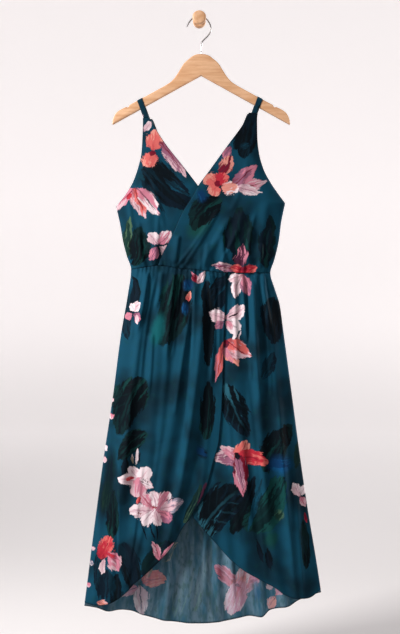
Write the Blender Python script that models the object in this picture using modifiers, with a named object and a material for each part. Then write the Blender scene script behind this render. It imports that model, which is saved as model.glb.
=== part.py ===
# Wrap dress with a tulip skirt, hanging on a wooden hanger from a turned wall peg.
# Metres, +Z up. The origin is the centre of the peg's back face, on the wall plane y = 0.
# The dress faces -Y, so x runs to the right as the wall is faced. Heights are below the peg.
import math
from collections import namedtuple

import bmesh
import bpy
from mathutils import Vector

CLOTH_THICKNESS = 0.0012
SEAM_GAP = 0.0003
LAYER_LIFT = 0.0026  # from the inner face of an under front to the inner face of the one on it

PEG_DEPTH = 0.045
PEG_BASE_RADIUS = 0.016
PEG_GROOVE_RADIUS = 0.009
HOOK_PLANE_Y = -0.026
HOOK_WIRE_RADIUS = 0.0017

HANGER_CENTRE_X = 0.0047
HANGER_TOP_Z = -0.0876
HANGER_THICKNESS = 0.012
HANGER_EDGE_ROUND = 0.003
HOOK_SOCKET_DEPTH = 0.022
HOOK_SOCKET_RADIUS = HOOK_WIRE_RADIUS + SEAM_GAP

STRAP_WIDTH = 0.012
STRAP_STANDOFF = 0.0006

UNDERARM_SHARE = 0.56  # share of a bodice panel's rows that lie above the underarm
SHOULDER_FRONT_Y = -0.0330
SHOULDER_BACK_Y = -0.0182

Outline = namedtuple("Outline", "height x")
Depth = namedtuple("Depth", "height side front back")
Edge = namedtuple("Edge", "share height")
Seam = namedtuple("Seam", "x height")
Fold = namedtuple("Fold", "top bottom x_top x_middle x_bottom half_width rise")
StrapRow = namedtuple("StrapRow", "y above_wood lean tilt")
Gather = namedtuple("Gather", "pitch depth reach")

# The outer edges of the flat-hung dress: armholes down to the underarm, then the side seams.
LEFT_ARMHOLE = (
    Outline(-0.2480, -0.1397),
    Outline(-0.2550, -0.1392),
    Outline(-0.2950, -0.1405),
    Outline(-0.3350, -0.1432),
    Outline(-0.3720, -0.1520),
    Outline(-0.4070, -0.1650),
    Outline(-0.4385, -0.1838),
    Outline(-0.4670, -0.2068),
)
RIGHT_ARMHOLE = (
    Outline(-0.2350, 0.1442),
    Outline(-0.2525, 0.1428),
    Outline(-0.2980, 0.1436),
    Outline(-0.3366, 0.1482),
    Outline(-0.3747, 0.1594),
    Outline(-0.4098, 0.1784),
    Outline(-0.4380, 0.1980),
    Outline(-0.4590, 0.2135),
)
LEFT_SIDE = (
    Outline(-0.4670, -0.2068),
    Outline(-0.5115, -0.1966),
    Outline(-0.5500, -0.1902),
    Outline(-0.5880, -0.1807),
    Outline(-0.6240, -0.1697),
    Outline(-0.6864, -0.1778),
    Outline(-0.7855, -0.1947),
    Outline(-0.9404, -0.2149),
    Outline(-1.0950, -0.2380),
    Outline(-1.2645, -0.2609),
    Outline(-1.4064, -0.2789),
    Outline(-1.4640, -0.2865),
)
RIGHT_SIDE = (
    Outline(-0.4590, 0.2135),
    Outline(-0.4734, 0.2102),
    Outline(-0.5050, 0.2038),
    Outline(-0.5528, 0.1975),
    Outline(-0.6004, 0.1863),
    Outline(-0.6320, 0.1768),
    Outline(-0.6710, 0.1874),
    Outline(-0.7113, 0.1999),
    Outline(-0.7671, 0.2076),
    Outline(-0.9404, 0.2307),
    Outline(-1.0984, 0.2516),
    Outline(-1.2222, 0.2698),
    Outline(-1.3491, 0.2910),
    Outline(-1.4640, 0.3085),
)

LEFT_WAIST_X = LEFT_SIDE[4].x
RIGHT_WAIST_X = RIGHT_SIDE[5].x

# The wrap edges. Each runs from the shoulder down, and on beneath the other front.
UNDER_NECKLINE = (
    Outline(-0.2480, -0.1240),
    Outline(-0.2560, -0.1197),
    Outline(-0.3080, -0.0878),
    Outline(-0.3650, -0.0438),
    Outline(-0.4185, -0.0028),
    Outline(-0.4600, 0.0260),
    Outline(-0.5200, 0.0600),
    Outline(-0.5800, 0.0860),
    Outline(-0.6320, 0.1000),
)
OVER_NECKLINE = (
    Outline(-0.2350, 0.1235),
    Outline(-0.2535, 0.1153),
    Outline(-0.3180, 0.0699),
    Outline(-0.3840, 0.0225),
    Outline(-0.4187, -0.0027),
    Outline(-0.4470, -0.0186),
    Outline(-0.4880, -0.0438),
    Outline(-0.5450, -0.0690),
    Outline(-0.5940, -0.0942),
    Outline(-0.6135, -0.1021),
)
BACK_NECKLINE = (
    Edge(0.000, -0.2480),
    Edge(0.079, -0.2480),
    Edge(0.131, -0.2850),
    Edge(0.188, -0.3200),
    Edge(0.345, -0.3850),
    Edge(0.487, -0.4500),
    Edge(0.615, -0.3850),
    Edge(0.785, -0.3200),
    Edge(0.840, -0.2850),
    Edge(0.895, -0.2525),
    Edge(0.915, -0.2350),
    Edge(1.000, -0.2350),
)
WAIST_SEAM = (
    Seam(-0.175, -0.6240),
    Seam(-0.140, -0.6190),
    Seam(-0.100, -0.6145),
    Seam(-0.050, -0.6210),
    Seam(0.010, -0.6270),
    Seam(0.065, -0.6320),
    Seam(0.120, -0.6325),
    Seam(0.185, -0.6320),
)
# The tulip edges of the skirt down to the peak, with the line that each column then follows on.
OVER_TULIP = (
    Outline(-0.6100, 0.0660),
    Outline(-0.6380, 0.0658),
    Outline(-0.8230, 0.0597),
    Outline(-0.9460, 0.0560),
    Outline(-1.0450, 0.0486),
    Outline(-1.1000, 0.0338),
    Outline(-1.1440, 0.0225),
    Outline(-1.1880, 0.0050),
    Outline(-1.2350, -0.0205),
    Outline(-1.3000, -0.0300),
    Outline(-1.4700, -0.0450),
)
UNDER_TULIP = (
    Outline(-0.6100, -0.0740),
    Outline(-0.6380, -0.0735),
    Outline(-0.8230, -0.0670),
    Outline(-0.9460, -0.0630),
    Outline(-1.0450, -0.0560),
    Outline(-1.1000, -0.0410),
    Outline(-1.1440, -0.0310),
    Outline(-1.1880, -0.0230),
    Outline(-1.2325, -0.0163),
    Outline(-1.3000, -0.0095),
    Outline(-1.4700, 0.0010),
)
OVER_HEM = (
    Edge(0.00, -1.4520),
    Edge(0.14, -1.4545),
    Edge(0.28, -1.4460),
    Edge(0.41, -1.4220),
    Edge(0.51, -1.3930),
    Edge(0.63, -1.3660),
    Edge(0.74, -1.3390),
    Edge(0.87, -1.2940),
    Edge(0.94, -1.2560),
    Edge(1.00, -1.2350),
)
UNDER_HEM = (
    Edge(0.00, -1.2325),
    Edge(0.07, -1.2610),
    Edge(0.15, -1.2900),
    Edge(0.23, -1.3190),
    Edge(0.30, -1.3430),
    Edge(0.38, -1.3640),
    Edge(0.49, -1.3850),
    Edge(0.56, -1.3980),
    Edge(0.63, -1.4090),
    Edge(0.70, -1.4270),
    Edge(0.78, -1.4360),
    Edge(0.88, -1.4365),
    Edge(1.00, -1.4185),
)
BACK_HEM = (
    Edge(0.00, -1.4600),
    Edge(0.05, -1.4660),
    Edge(0.10, -1.4760),
    Edge(0.14, -1.4710),
    Edge(0.19, -1.4740),
    Edge(0.26, -1.4880),
    Edge(0.34, -1.5000),
    Edge(0.49, -1.5075),
    Edge(0.59, -1.5010),
    Edge(0.69, -1.4880),
    Edge(0.74, -1.4910),
    Edge(0.78, -1.4730),
    Edge(0.86, -1.4620),
    Edge(0.90, -1.4480),
    Edge(1.00, -1.4260),
)

# How far the cloth stands from the wall at the side seams, and how far it swells each way.
DEPTHS = (
    Depth(-0.2500, -0.0240, 0.0010, 0.0005),
    Depth(-0.3300, -0.0240, 0.0060, 0.0020),
    Depth(-0.4200, -0.0240, 0.0150, 0.0045),
    Depth(-0.5000, -0.0240, 0.0190, 0.0060),
    Depth(-0.5700, -0.0238, 0.0190, 0.0075),
    Depth(-0.5980, -0.0236, 0.0175, 0.0085),
    Depth(-0.6080, -0.0235, 0.0140, 0.0080),
    Depth(-0.6150, -0.0235, 0.0116, 0.0072),
    Depth(-0.6400, -0.0235, 0.0112, 0.0070),
    Depth(-0.7000, -0.0238, 0.0150, 0.0085),
    Depth(-0.8500, -0.0250, 0.0205, 0.0110),
    Depth(-1.1000, -0.0260, 0.0235, 0.0125),
    Depth(-1.5200, -0.0270, 0.0250, 0.0130),
)
ROUNDNESS = 2.6  # 2 is an ellipse, more is flatter in the middle
SHARPNESS = 0.6
ARMHOLE_OPENING_CURVE = 0.8

# Folds of the cloth. A rise lifts the cloth off the smooth form, outwards.
SKIRT_OVER_FOLDS = (
    Fold(-0.640, -1.330, 0.014, -0.017, -0.085, 0.011, 0.0120),
    Fold(-0.640, -1.440, -0.020, -0.074, -0.150, 0.017, 0.0080),
    Fold(-0.630, -1.400, -0.090, -0.118, -0.160, 0.017, 0.0065),
    Fold(-0.620, -1.200, -0.122, -0.163, -0.190, 0.011, 0.0080),
    Fold(-0.950, -1.500, -0.186, -0.206, -0.230, 0.011, 0.0055),
    Fold(-0.620, -1.050, -0.062, -0.078, -0.098, 0.010, 0.0060),
    Fold(-0.900, -1.500, -0.238, -0.246, -0.264, 0.009, 0.0035),
)
SKIRT_UNDER_FOLDS = (
    Fold(-0.625, -1.250, 0.132, 0.146, 0.168, 0.012, 0.0090),
    Fold(-0.640, -1.480, 0.170, 0.203, 0.243, 0.012, 0.0065),
    Fold(-0.700, -1.420, 0.090, 0.096, 0.118, 0.020, 0.0050),
    Fold(-1.050, -1.500, 0.232, 0.250, 0.268, 0.010, 0.0045),
    Fold(-1.080, -1.480, 0.150, 0.178, 0.205, 0.014, 0.0045),
    Fold(-1.150, -1.450, 0.060, 0.068, 0.082, 0.013, 0.0035),
)
# The back folds inwards, away from the wall, so its rises are negative.
SKIRT_BACK_FOLDS = (
    Fold(-0.640, -1.520, -0.130, -0.165, -0.215, 0.014, -0.0060),
    Fold(-0.700, -1.520, -0.070, -0.105, -0.150, 0.013, -0.0050),
    Fold(-0.660, -1.520, -0.040, -0.062, -0.089, 0.013, -0.0070),
    Fold(-0.720, -1.520, -0.005, -0.016, -0.030, 0.016, -0.0065),
    Fold(-0.650, -1.520, 0.030, 0.038, 0.048, 0.013, -0.0060),
    Fold(-0.760, -1.520, 0.066, 0.082, 0.104, 0.017, -0.0070),
    Fold(-0.640, -1.520, 0.110, 0.132, 0.160, 0.012, -0.0055),
    Fold(-0.720, -1.520, 0.145, 0.180, 0.222, 0.014, -0.0060),
)
BODICE_UNDER_FOLDS = (
    Fold(-0.470, -0.600, -0.128, -0.124, -0.112, 0.013, 0.0035),
    Fold(-0.300, -0.470, -0.120, -0.132, -0.160, 0.012, 0.0022),
)
BODICE_OVER_FOLDS = (
    Fold(-0.490, -0.622, 0.078, 0.040, 0.004, 0.010, 0.0050),
    Fold(-0.470, -0.625, 0.112, 0.086, 0.066, 0.011, 0.0040),
    Fold(-0.450, -0.600, 0.165, 0.158, 0.140, 0.013, 0.0035),
)
BODICE_BACK_FOLDS = (
    Fold(-0.470, -0.600, -0.110, -0.095, -0.080, 0.013, -0.0020),
    Fold(-0.460, -0.600, 0.020, 0.012, 0.004, 0.012, -0.0022),
    Fold(-0.470, -0.600, 0.120, 0.106, 0.095, 0.013, -0.0020),
)
SKIRT_GATHER = Gather(0.0185, 0.0024, 0.110)
BODICE_GATHER = Gather(0.0250, 0.0020, 0.060)
# Slow waves along the waist, in radians for each metre, that make the gathers uneven. The shift
# and the jitter are shares of the pitch, the height's variation a share of the depth.
GATHER_SHIFT_WAVE = 31.0
GATHER_SHIFT = 0.35
GATHER_JITTER_WAVE = 73.0
GATHER_JITTER = 0.2
GATHER_HEIGHT_WAVE = 117.0
GATHER_HEIGHT_VARIATION = 0.25
FOLD_FADE = 0.16  # share of a fold's length over which it rises and dies away
FOLD_END_START = 0.35  # how much of that a fold still has at its lower end
FOLD_FULL_SWELL = 1.6  # a fold has its whole rise where the swell is at least 1 over this
# Where the over fronts lift off the under ones: share of their width from the side seam, and
# for the bodice also the height below which it starts, and how far down it takes.
SKIRT_LIFT_SHARE = 0.16
BODICE_LIFT_SHARE = 0.2
BODICE_LIFT_TOP = -0.30
BODICE_LIFT_REACH = 0.05
# The under fronts are plain where they lie hidden, and take up their folds over these lengths.
TULIP_OVERLAP = 0.004
TULIP_FADE = 0.020
HEM_FADE = 0.03
NECK_FADE = 0.016

SKIRT_ROWS = 16
SKIRT_ROW_CROWDING = 1.25  # more crowds the rows nearer the waist
SKIRT_BACK_COLUMNS = 54
SKIRT_OVER_COLUMNS = 40
SKIRT_UNDER_COLUMNS = 40
ARMHOLE_ROWS = 6
SIDE_ROW_SHARES = (0.28, 0.54, 0.73, 0.85, 0.93, 0.975, 1.0)
BODICE_OVER_COLUMNS = 28
BODICE_UNDER_COLUMNS = 22
BACK_APEX_SHARES = (0.0, 0.04)
BACK_NECK_START = 0.079
BACK_NECK_END = 0.915
BACK_NECK_COLUMNS = 22

# Turned peg: radius and distance from the wall, from the front down to the wall.
PEG_PROFILE = (
    (0.0, PEG_DEPTH),
    (0.0130, PEG_DEPTH),
    (0.0160, 0.0436),
    (0.0172, 0.0412),
    (0.0172, 0.0372),
    (0.0155, 0.0346),
    (0.0100, 0.0332),
    (PEG_GROOVE_RADIUS, 0.0318),
    (PEG_GROOVE_RADIUS, 0.0205),
    (0.0105, 0.0188),
    (PEG_BASE_RADIUS, 0.0180),
    (PEG_BASE_RADIUS, 0.0),
    (0.0, 0.0),
)
HOOK_REST_Z = PEG_GROOVE_RADIUS + SEAM_GAP + HOOK_WIRE_RADIUS
# Hook wire centre line, x and z, from its free tip over the peg and down to the wood.
HOOK_ROUTE = (
    (-0.0303, -0.0190),
    (-0.0268, -0.0105),
    (-0.0195, -0.0012),
    (-0.0104, 0.0072),
    (0.0000, HOOK_REST_Z),
    (0.0107, 0.0070),
    (0.0195, -0.0020),
    (0.0262, -0.0120),
    (0.0290, -0.0225),
    (0.0272, -0.0330),
    (0.0205, -0.0430),
    (0.0118, -0.0515),
    (0.0066, -0.0580),
    (0.0050, -0.0660),
    (HANGER_CENTRE_X, -0.0760),
    (HANGER_CENTRE_X, HANGER_TOP_Z),
)
# Right half of the hanger's outline, from the dome's top out to the tip and back under the arm.
HangerPoint = namedtuple("HangerPoint", "out down")
HANGER_TOP_EDGE = (
    HangerPoint(0.0, 0.0),
    HangerPoint(0.0120, 0.0014),
    HangerPoint(0.0215, 0.0052),
    HangerPoint(0.0290, 0.0112),
    HangerPoint(0.0380, 0.0185),
    HangerPoint(0.0456, 0.0268),
    HangerPoint(0.0530, 0.0390),
    HangerPoint(0.0610, 0.0520),
    HangerPoint(0.0700, 0.0635),
    HangerPoint(0.0820, 0.0740),
    HangerPoint(0.1141, 0.0922),
    HangerPoint(0.1463, 0.1098),
    HangerPoint(0.1786, 0.1270),
)
HANGER_TIP = (
    HangerPoint(0.1805, 0.1310),
    HangerPoint(0.1830, 0.1330),
    HangerPoint(0.1855, 0.1318),
    HangerPoint(0.1940, 0.1352),
    HangerPoint(0.2050, 0.1412),
    HangerPoint(0.2128, 0.1482),
    HangerPoint(0.2185, 0.1590),
    HangerPoint(0.2210, 0.1690),
    HangerPoint(0.2210, 0.1745),
    HangerPoint(0.2190, 0.1752),
)
HANGER_UNDER_APEX = HangerPoint(0.0, 0.0539)

STRAP_LEFT_TOP_X = -0.1478
STRAP_RIGHT_TOP_X = 0.1508
# Strap rows from the front shoulder over the hanger to the back shoulder: how far from the wall,
# how far above the wood's top edge, how far it leans inwards as it drops, and its slope across.
# None stands for the shoulder's height.
STRAP_ROWS = (
    StrapRow(SHOULDER_FRONT_Y, None, 0.33, 0.0),
    StrapRow(-0.0330, -0.0330, 0.33, 0.3),
    StrapRow(-0.0327, -0.0210, 0.33, 0.33),
    StrapRow(-0.0326, -0.0070, 0.30, 0.42),
    StrapRow(-0.0325, -0.0022, 0.0, 0.53),
    StrapRow(-0.0316, -0.0002, 0.0, 0.53),
    StrapRow(-0.0290, STRAP_STANDOFF, 0.0, 0.53),
    StrapRow(-0.0230, STRAP_STANDOFF, 0.0, 0.53),
    StrapRow(-0.0204, -0.0002, 0.0, 0.53),
    StrapRow(-0.0195, -0.0022, 0.0, 0.53),
    StrapRow(-0.0194, -0.0070, 0.34, 0.42),
    StrapRow(-0.0192, -0.0210, 0.40, 0.40),
    StrapRow(-0.0186, -0.0330, 0.40, 0.3),
    StrapRow(SHOULDER_BACK_Y, None, 0.40, 0.0),
)

PRINTED_CLOTH = (0.010, 0.060, 0.085)
WOOD = (0.76, 0.53, 0.32)
STEEL = (0.40, 0.40, 0.40)


def clear_scene():
    for old in list(bpy.data.objects):
        bpy.data.objects.remove(old, do_unlink=True)


def new_collection(name):
    collection = bpy.data.collections.new(name)
    bpy.context.scene.collection.children.link(collection)
    return collection


def new_material(name, colour, roughness, metallic=0.0):
    material = bpy.data.materials.new(name)
    material.use_nodes = True
    shader = material.node_tree.nodes["Principled BSDF"]
    shader.inputs["Base Color"].default_value = (*colour, 1.0)
    shader.inputs["Roughness"].default_value = roughness
    shader.inputs["Metallic"].default_value = metallic
    return material


def mix(a, b, share):
    return a + (b - a) * share


def ease(share):
    share = min(1.0, max(0.0, share))
    return share * share * (3 - 2 * share)


def read_table(rows, key, column, at):
    """Smooth value of one column at a place between the rows, without overshoot."""
    places = [getattr(row, key) for row in rows]
    values = [getattr(row, column) for row in rows]
    if places[0] > places[-1]:
        places.reverse()
        values.reverse()
    if at <= places[0]:
        return values[0]
    if at >= places[-1]:
        return values[-1]
    i = max(k for k in range(len(places) - 1) if places[k] <= at)
    slopes = []
    for k in (i, i + 1):
        before = (values[k] - values[k - 1]) / (places[k] - places[k - 1]) if k > 0 else None
        after = (values[k + 1] - values[k]) / (places[k + 1] - places[k]) if k < len(places) - 1 else None
        if before is None or after is None:
            slopes.append(after if before is None else before)
        elif before * after <= 0:
            slopes.append(0.0)
        else:
            slopes.append(2 * before * after / (before + after))
    width = places[i + 1] - places[i]
    t = (at - places[i]) / width
    return (
        values[i] * (1 + 2 * t) * (1 - t) ** 2
        + values[i + 1] * t * t * (3 - 2 * t)
        + slopes[0] * width * t * (1 - t) ** 2
        - slopes[1] * width * t * t * (1 - t)
    )


def straight_table(rows, key, column, at):
    """Value between the rows along straight lines."""
    for low, high in zip(rows, rows[1:]):
        if getattr(low, key) <= at <= getattr(high, key):
            span = getattr(high, key) - getattr(low, key)
            share = (at - getattr(low, key)) / span if span else 0.0
            return mix(getattr(low, column), getattr(high, column), share)
    return getattr(rows[-1], column)


def left_edge(height):
    table = LEFT_ARMHOLE if height > LEFT_ARMHOLE[-1].height else LEFT_SIDE
    return read_table(table, "height", "x", height)


def right_edge(height):
    table = RIGHT_ARMHOLE if height > RIGHT_ARMHOLE[-1].height else RIGHT_SIDE
    return read_table(table, "height", "x", height)


def waist_height(x):
    return read_table(WAIST_SEAM, "x", "height", x)


def swell(x, height):
    """0 at the side edges and 1 at the middle of the flat-hung cloth."""
    left = left_edge(height)
    right = right_edge(height)
    across = abs(2 * x - left - right) / (right - left)
    return max(0.0, 1 - min(1.0, across) ** ROUNDNESS) ** SHARPNESS


def side_depth(x, height, shoulder_y):
    """The armhole's edges part above the underarm, up to the shoulder."""
    side = read_table(DEPTHS, "height", "side", height)
    table = LEFT_ARMHOLE if x < 0 else RIGHT_ARMHOLE
    underarm = table[-1].height
    shoulder = table[0].height
    opened = ease((height - underarm) / (shoulder - underarm)) ** ARMHOLE_OPENING_CURVE
    return mix(side, shoulder_y, opened)


def fold_rise(folds, x, height):
    total = 0.0
    for fold in folds:
        share = (height - fold.top) / (fold.bottom - fold.top)
        if not 0.0 <= share <= 1.0:
            continue
        bend = 4 * share * (1 - share)
        line = mix(fold.x_top, fold.x_bottom, share)
        line += bend * (fold.x_middle - (fold.x_top + fold.x_bottom) / 2)
        fade = ease(share / FOLD_FADE) * ease((1 - share) / FOLD_FADE + FOLD_END_START)
        total += fold.rise * fade * math.exp(-(((x - line) / fold.half_width) ** 2))
    return total


def gather_rise(gather, x, below_waist):
    """Uneven gathers at the elastic, which fade away from it."""
    fade = 1 - ease(abs(below_waist) / gather.reach)
    turn = x / gather.pitch
    turn += GATHER_SHIFT * math.sin(x * GATHER_SHIFT_WAVE)
    turn += GATHER_JITTER * math.sin(x * GATHER_JITTER_WAVE + 1.0)
    wave = 0.5 + 0.5 * math.cos(2 * math.pi * turn)
    uneven = 1 - GATHER_HEIGHT_VARIATION * (1 - math.sin(x * GATHER_HEIGHT_WAVE))
    return gather.depth * fade * wave * uneven


def front_y(x, height, folds, gather, lift):
    shape = swell(x, height)
    out = read_table(DEPTHS, "height", "front", height) * shape + lift
    out += fold_rise(folds, x, height) * min(1.0, FOLD_FULL_SWELL * shape)
    out += gather_rise(gather, x, height - waist_height(x)) * shape
    return side_depth(x, height, SHOULDER_FRONT_Y) - SEAM_GAP / 2 - out


def back_y(x, height, folds, gather):
    shape = swell(x, height)
    out = read_table(DEPTHS, "height", "back", height) * shape
    out += fold_rise(folds, x, height) * min(1.0, FOLD_FULL_SWELL * shape)
    out -= gather_rise(gather, x, height - waist_height(x)) * shape
    return side_depth(x, height, SHOULDER_BACK_Y) + SEAM_GAP / 2 + out


def cloth_panel(name, shares_across, row_count, place, faces_front, material, collection):
    """A primitive grid whose points are put at place(share across, row), then thickened outwards."""
    columns = len(shares_across)
    bpy.ops.mesh.primitive_grid_add(x_subdivisions=columns - 1, y_subdivisions=row_count - 1, size=2)
    panel = bpy.context.object
    panel.name = name
    panel.data.name = name
    for vertex in panel.data.vertices:
        column = round((vertex.co.x + 1) / 2 * (columns - 1))
        row = round((1 - vertex.co.y) / 2 * (row_count - 1))
        vertex.co = place(shares_across[column], row)
    if not faces_front:
        panel.data.flip_normals()
    wall = panel.modifiers.new("Cloth", "SOLIDIFY")
    wall.thickness = CLOTH_THICKNESS
    wall.offset = 1.0
    return finish_piece(panel, material, collection)


def finish_piece(piece, material, collection, sharp_angle=40):
    piece.data.materials.clear()
    piece.data.materials.append(material)
    for old in list(piece.users_collection):
        old.objects.unlink(piece)
    collection.objects.link(piece)
    if piece.type == "MESH":
        piece.data.shade_smooth()
        piece.data.set_sharp_from_angle(angle=math.radians(sharp_angle))
    return piece


def even_shares(count):
    return [i / count for i in range(count + 1)]


def skirt_panel(name, columns, left_of, right_of, hem, depth, faces_front, material, collection):
    """Columns run from the waist seam down to the hem, between two edges read by height."""
    shares = even_shares(columns)

    def place(share, row):
        start = WAIST_SEAM[0].height
        x_top = mix(left_of(start), right_of(start), share)
        top = waist_height(x_top) - SEAM_GAP
        bottom = read_table(hem, "share", "height", share)
        height = mix(top, bottom, (row / SKIRT_ROWS) ** SKIRT_ROW_CROWDING)
        x = mix(left_of(height), right_of(height), share)
        return Vector((x, depth(share, x, height), height))

    return cloth_panel(name, shares, SKIRT_ROWS + 1, place, faces_front, material, collection)


def build_skirt(material, collection):
    def over_depth(share, x, height):
        lift = LAYER_LIFT * ease(share / SKIRT_LIFT_SHARE)
        return front_y(x, height, SKIRT_OVER_FOLDS, SKIRT_GATHER, lift)

    def under_depth(share, x, height):
        past_edge = x - read_table(OVER_TULIP, "height", "x", height) + TULIP_OVERLAP
        shown = ease(past_edge / TULIP_FADE)
        shown = max(shown, ease((OVER_HEM[-1].height - height) / HEM_FADE))
        folds = front_y(x, height, SKIRT_UNDER_FOLDS, SKIRT_GATHER, 0.0)
        plain = front_y(x, height, (), SKIRT_GATHER._replace(depth=0.0), 0.0)
        return mix(plain, folds, shown)

    def back_depth(share, x, height):
        return back_y(x, height, SKIRT_BACK_FOLDS, SKIRT_GATHER)

    def over_right(height):
        return read_table(OVER_TULIP, "height", "x", height)

    def under_left(height):
        return read_table(UNDER_TULIP, "height", "x", height)

    skirt_panel("skirt_front_over", SKIRT_OVER_COLUMNS, left_edge, over_right, OVER_HEM,
                over_depth, True, material, collection)
    skirt_panel("skirt_front_under", SKIRT_UNDER_COLUMNS, under_left, right_edge, UNDER_HEM,
                under_depth, True, material, collection)
    skirt_panel("skirt_back", SKIRT_BACK_COLUMNS, left_edge, right_edge, BACK_HEM,
                back_depth, False, material, collection)


def edge_point(armhole, side, row):
    """A point of an outer edge: the armhole's rows, then those of the side seam."""
    if row <= ARMHOLE_ROWS:
        height = mix(armhole[0].height, armhole[-1].height, row / ARMHOLE_ROWS)
        return read_table(armhole, "height", "x", height), height
    share = SIDE_ROW_SHARES[row - ARMHOLE_ROWS - 1]
    waist = waist_height(LEFT_WAIST_X if armhole is LEFT_ARMHOLE else RIGHT_WAIST_X)
    height = mix(armhole[-1].height, waist + SEAM_GAP, share)
    return read_table(side, "height", "x", height), height


def row_share(row):
    """How far down a bodice panel a row lies, the same on both of its edges."""
    if row <= ARMHOLE_ROWS:
        return UNDERARM_SHARE * row / ARMHOLE_ROWS
    return mix(UNDERARM_SHARE, 1.0, SIDE_ROW_SHARES[row - ARMHOLE_ROWS - 1])


def neck_point(neckline, row):
    bottom = waist_height(neckline[-1].x) + SEAM_GAP
    height = mix(neckline[0].height, bottom, row_share(row))
    return read_table(neckline, "height", "x", height), height


def bodice_front(name, columns, left_point, right_point, depth, material, collection):
    """Each row runs straight between a point of the neckline and one of the outer edge."""
    last = ARMHOLE_ROWS + len(SIDE_ROW_SHARES)
    bottom_left = left_point(last)[0]
    bottom_right = right_point(last)[0]

    def place(share, row):
        left = left_point(row)
        right = right_point(row)
        x = mix(left[0], right[0], share)
        height = mix(left[1], right[1], share)
        x_seam = mix(bottom_left, bottom_right, share)
        seam_drop = waist_height(x_seam) + SEAM_GAP - mix(left_point(last)[1], right_point(last)[1], share)
        height += seam_drop * row_share(row) ** 2
        return Vector((x, depth(share, x, height), height))

    return cloth_panel(name, even_shares(columns), last + 1, place, True, material, collection)


def build_bodice(material, collection):
    def under_left(row):
        return edge_point(LEFT_ARMHOLE, LEFT_SIDE, row)

    def under_right(row):
        return neck_point(UNDER_NECKLINE, row)

    def over_left(row):
        return neck_point(OVER_NECKLINE, row)

    def over_right(row):
        return edge_point(RIGHT_ARMHOLE, RIGHT_SIDE, row)

    def under_depth(share, x, height):
        shown = ease((read_table(OVER_NECKLINE, "height", "x", height) - x) / NECK_FADE)
        folds = front_y(x, height, BODICE_UNDER_FOLDS, BODICE_GATHER, 0.0)
        plain = front_y(x, height, (), BODICE_GATHER._replace(depth=0.0), 0.0)
        return mix(plain, folds, shown)

    def over_depth(share, x, height):
        below_top = ease((BODICE_LIFT_TOP - height) / BODICE_LIFT_REACH)
        lift = LAYER_LIFT * ease((1 - share) / BODICE_LIFT_SHARE) * below_top
        return front_y(x, height, BODICE_OVER_FOLDS, BODICE_GATHER, lift)

    bodice_front("bodice_front_under", BODICE_UNDER_COLUMNS, under_left, under_right,
                 under_depth, material, collection)
    bodice_front("bodice_front_over", BODICE_OVER_COLUMNS, over_left, over_right,
                 over_depth, material, collection)

    last = ARMHOLE_ROWS + len(SIDE_ROW_SHARES)
    neck_span = BACK_NECK_END - BACK_NECK_START
    middle = [BACK_NECK_START + neck_span * share for share in even_shares(BACK_NECK_COLUMNS)]
    shares = [*BACK_APEX_SHARES, *middle, 1.0 - BACK_APEX_SHARES[1], 1.0]

    def back_place(share, row):
        left = edge_point(LEFT_ARMHOLE, LEFT_SIDE, row)
        right = edge_point(RIGHT_ARMHOLE, RIGHT_SIDE, row)
        neck = straight_table(BACK_NECKLINE, "share", "height", share)
        underarm = mix(LEFT_ARMHOLE[-1].height, RIGHT_ARMHOLE[-1].height, share)
        if row <= ARMHOLE_ROWS:
            height = mix(neck, underarm, row / ARMHOLE_ROWS)
            x = mix(left_edge(height), right_edge(height), share)
        else:
            height = mix(left[1], right[1], share)
            x = mix(left[0], right[0], share)
            x_seam = mix(LEFT_WAIST_X, RIGHT_WAIST_X, share)
            straight = mix(waist_height(LEFT_WAIST_X), waist_height(RIGHT_WAIST_X), share)
            down = SIDE_ROW_SHARES[row - ARMHOLE_ROWS - 1]
            height += (waist_height(x_seam) - straight) * down
        return Vector((x, back_y(x, height, BODICE_BACK_FOLDS, BODICE_GATHER), height))

    cloth_panel("bodice_back", shares, last + 1, back_place, False, material, collection)


def hanger_top_height(x):
    out = abs(x - HANGER_CENTRE_X)
    return HANGER_TOP_Z - straight_table(HANGER_TOP_EDGE, "out", "down", out)


def build_strap(name, top_x, armhole, material, collection):
    """A flat strip from the front shoulder, over the hanger's arm, to the back shoulder."""
    side = 1.0 if top_x > 0 else -1.0
    wood_height = hanger_top_height(top_x)
    shoulder_height = armhole[0].height + SEAM_GAP

    def place(share, row):
        line = STRAP_ROWS[row]
        above = shoulder_height - wood_height if line.above_wood is None else line.above_wood
        x = top_x + side * line.lean * min(0.0, above)
        across = (share - 0.5) * STRAP_WIDTH
        return Vector((x + across, line.y, wood_height + above - side * line.tilt * across))

    cloth_panel(name, even_shares(2), len(STRAP_ROWS), place, False, material, collection)


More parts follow.
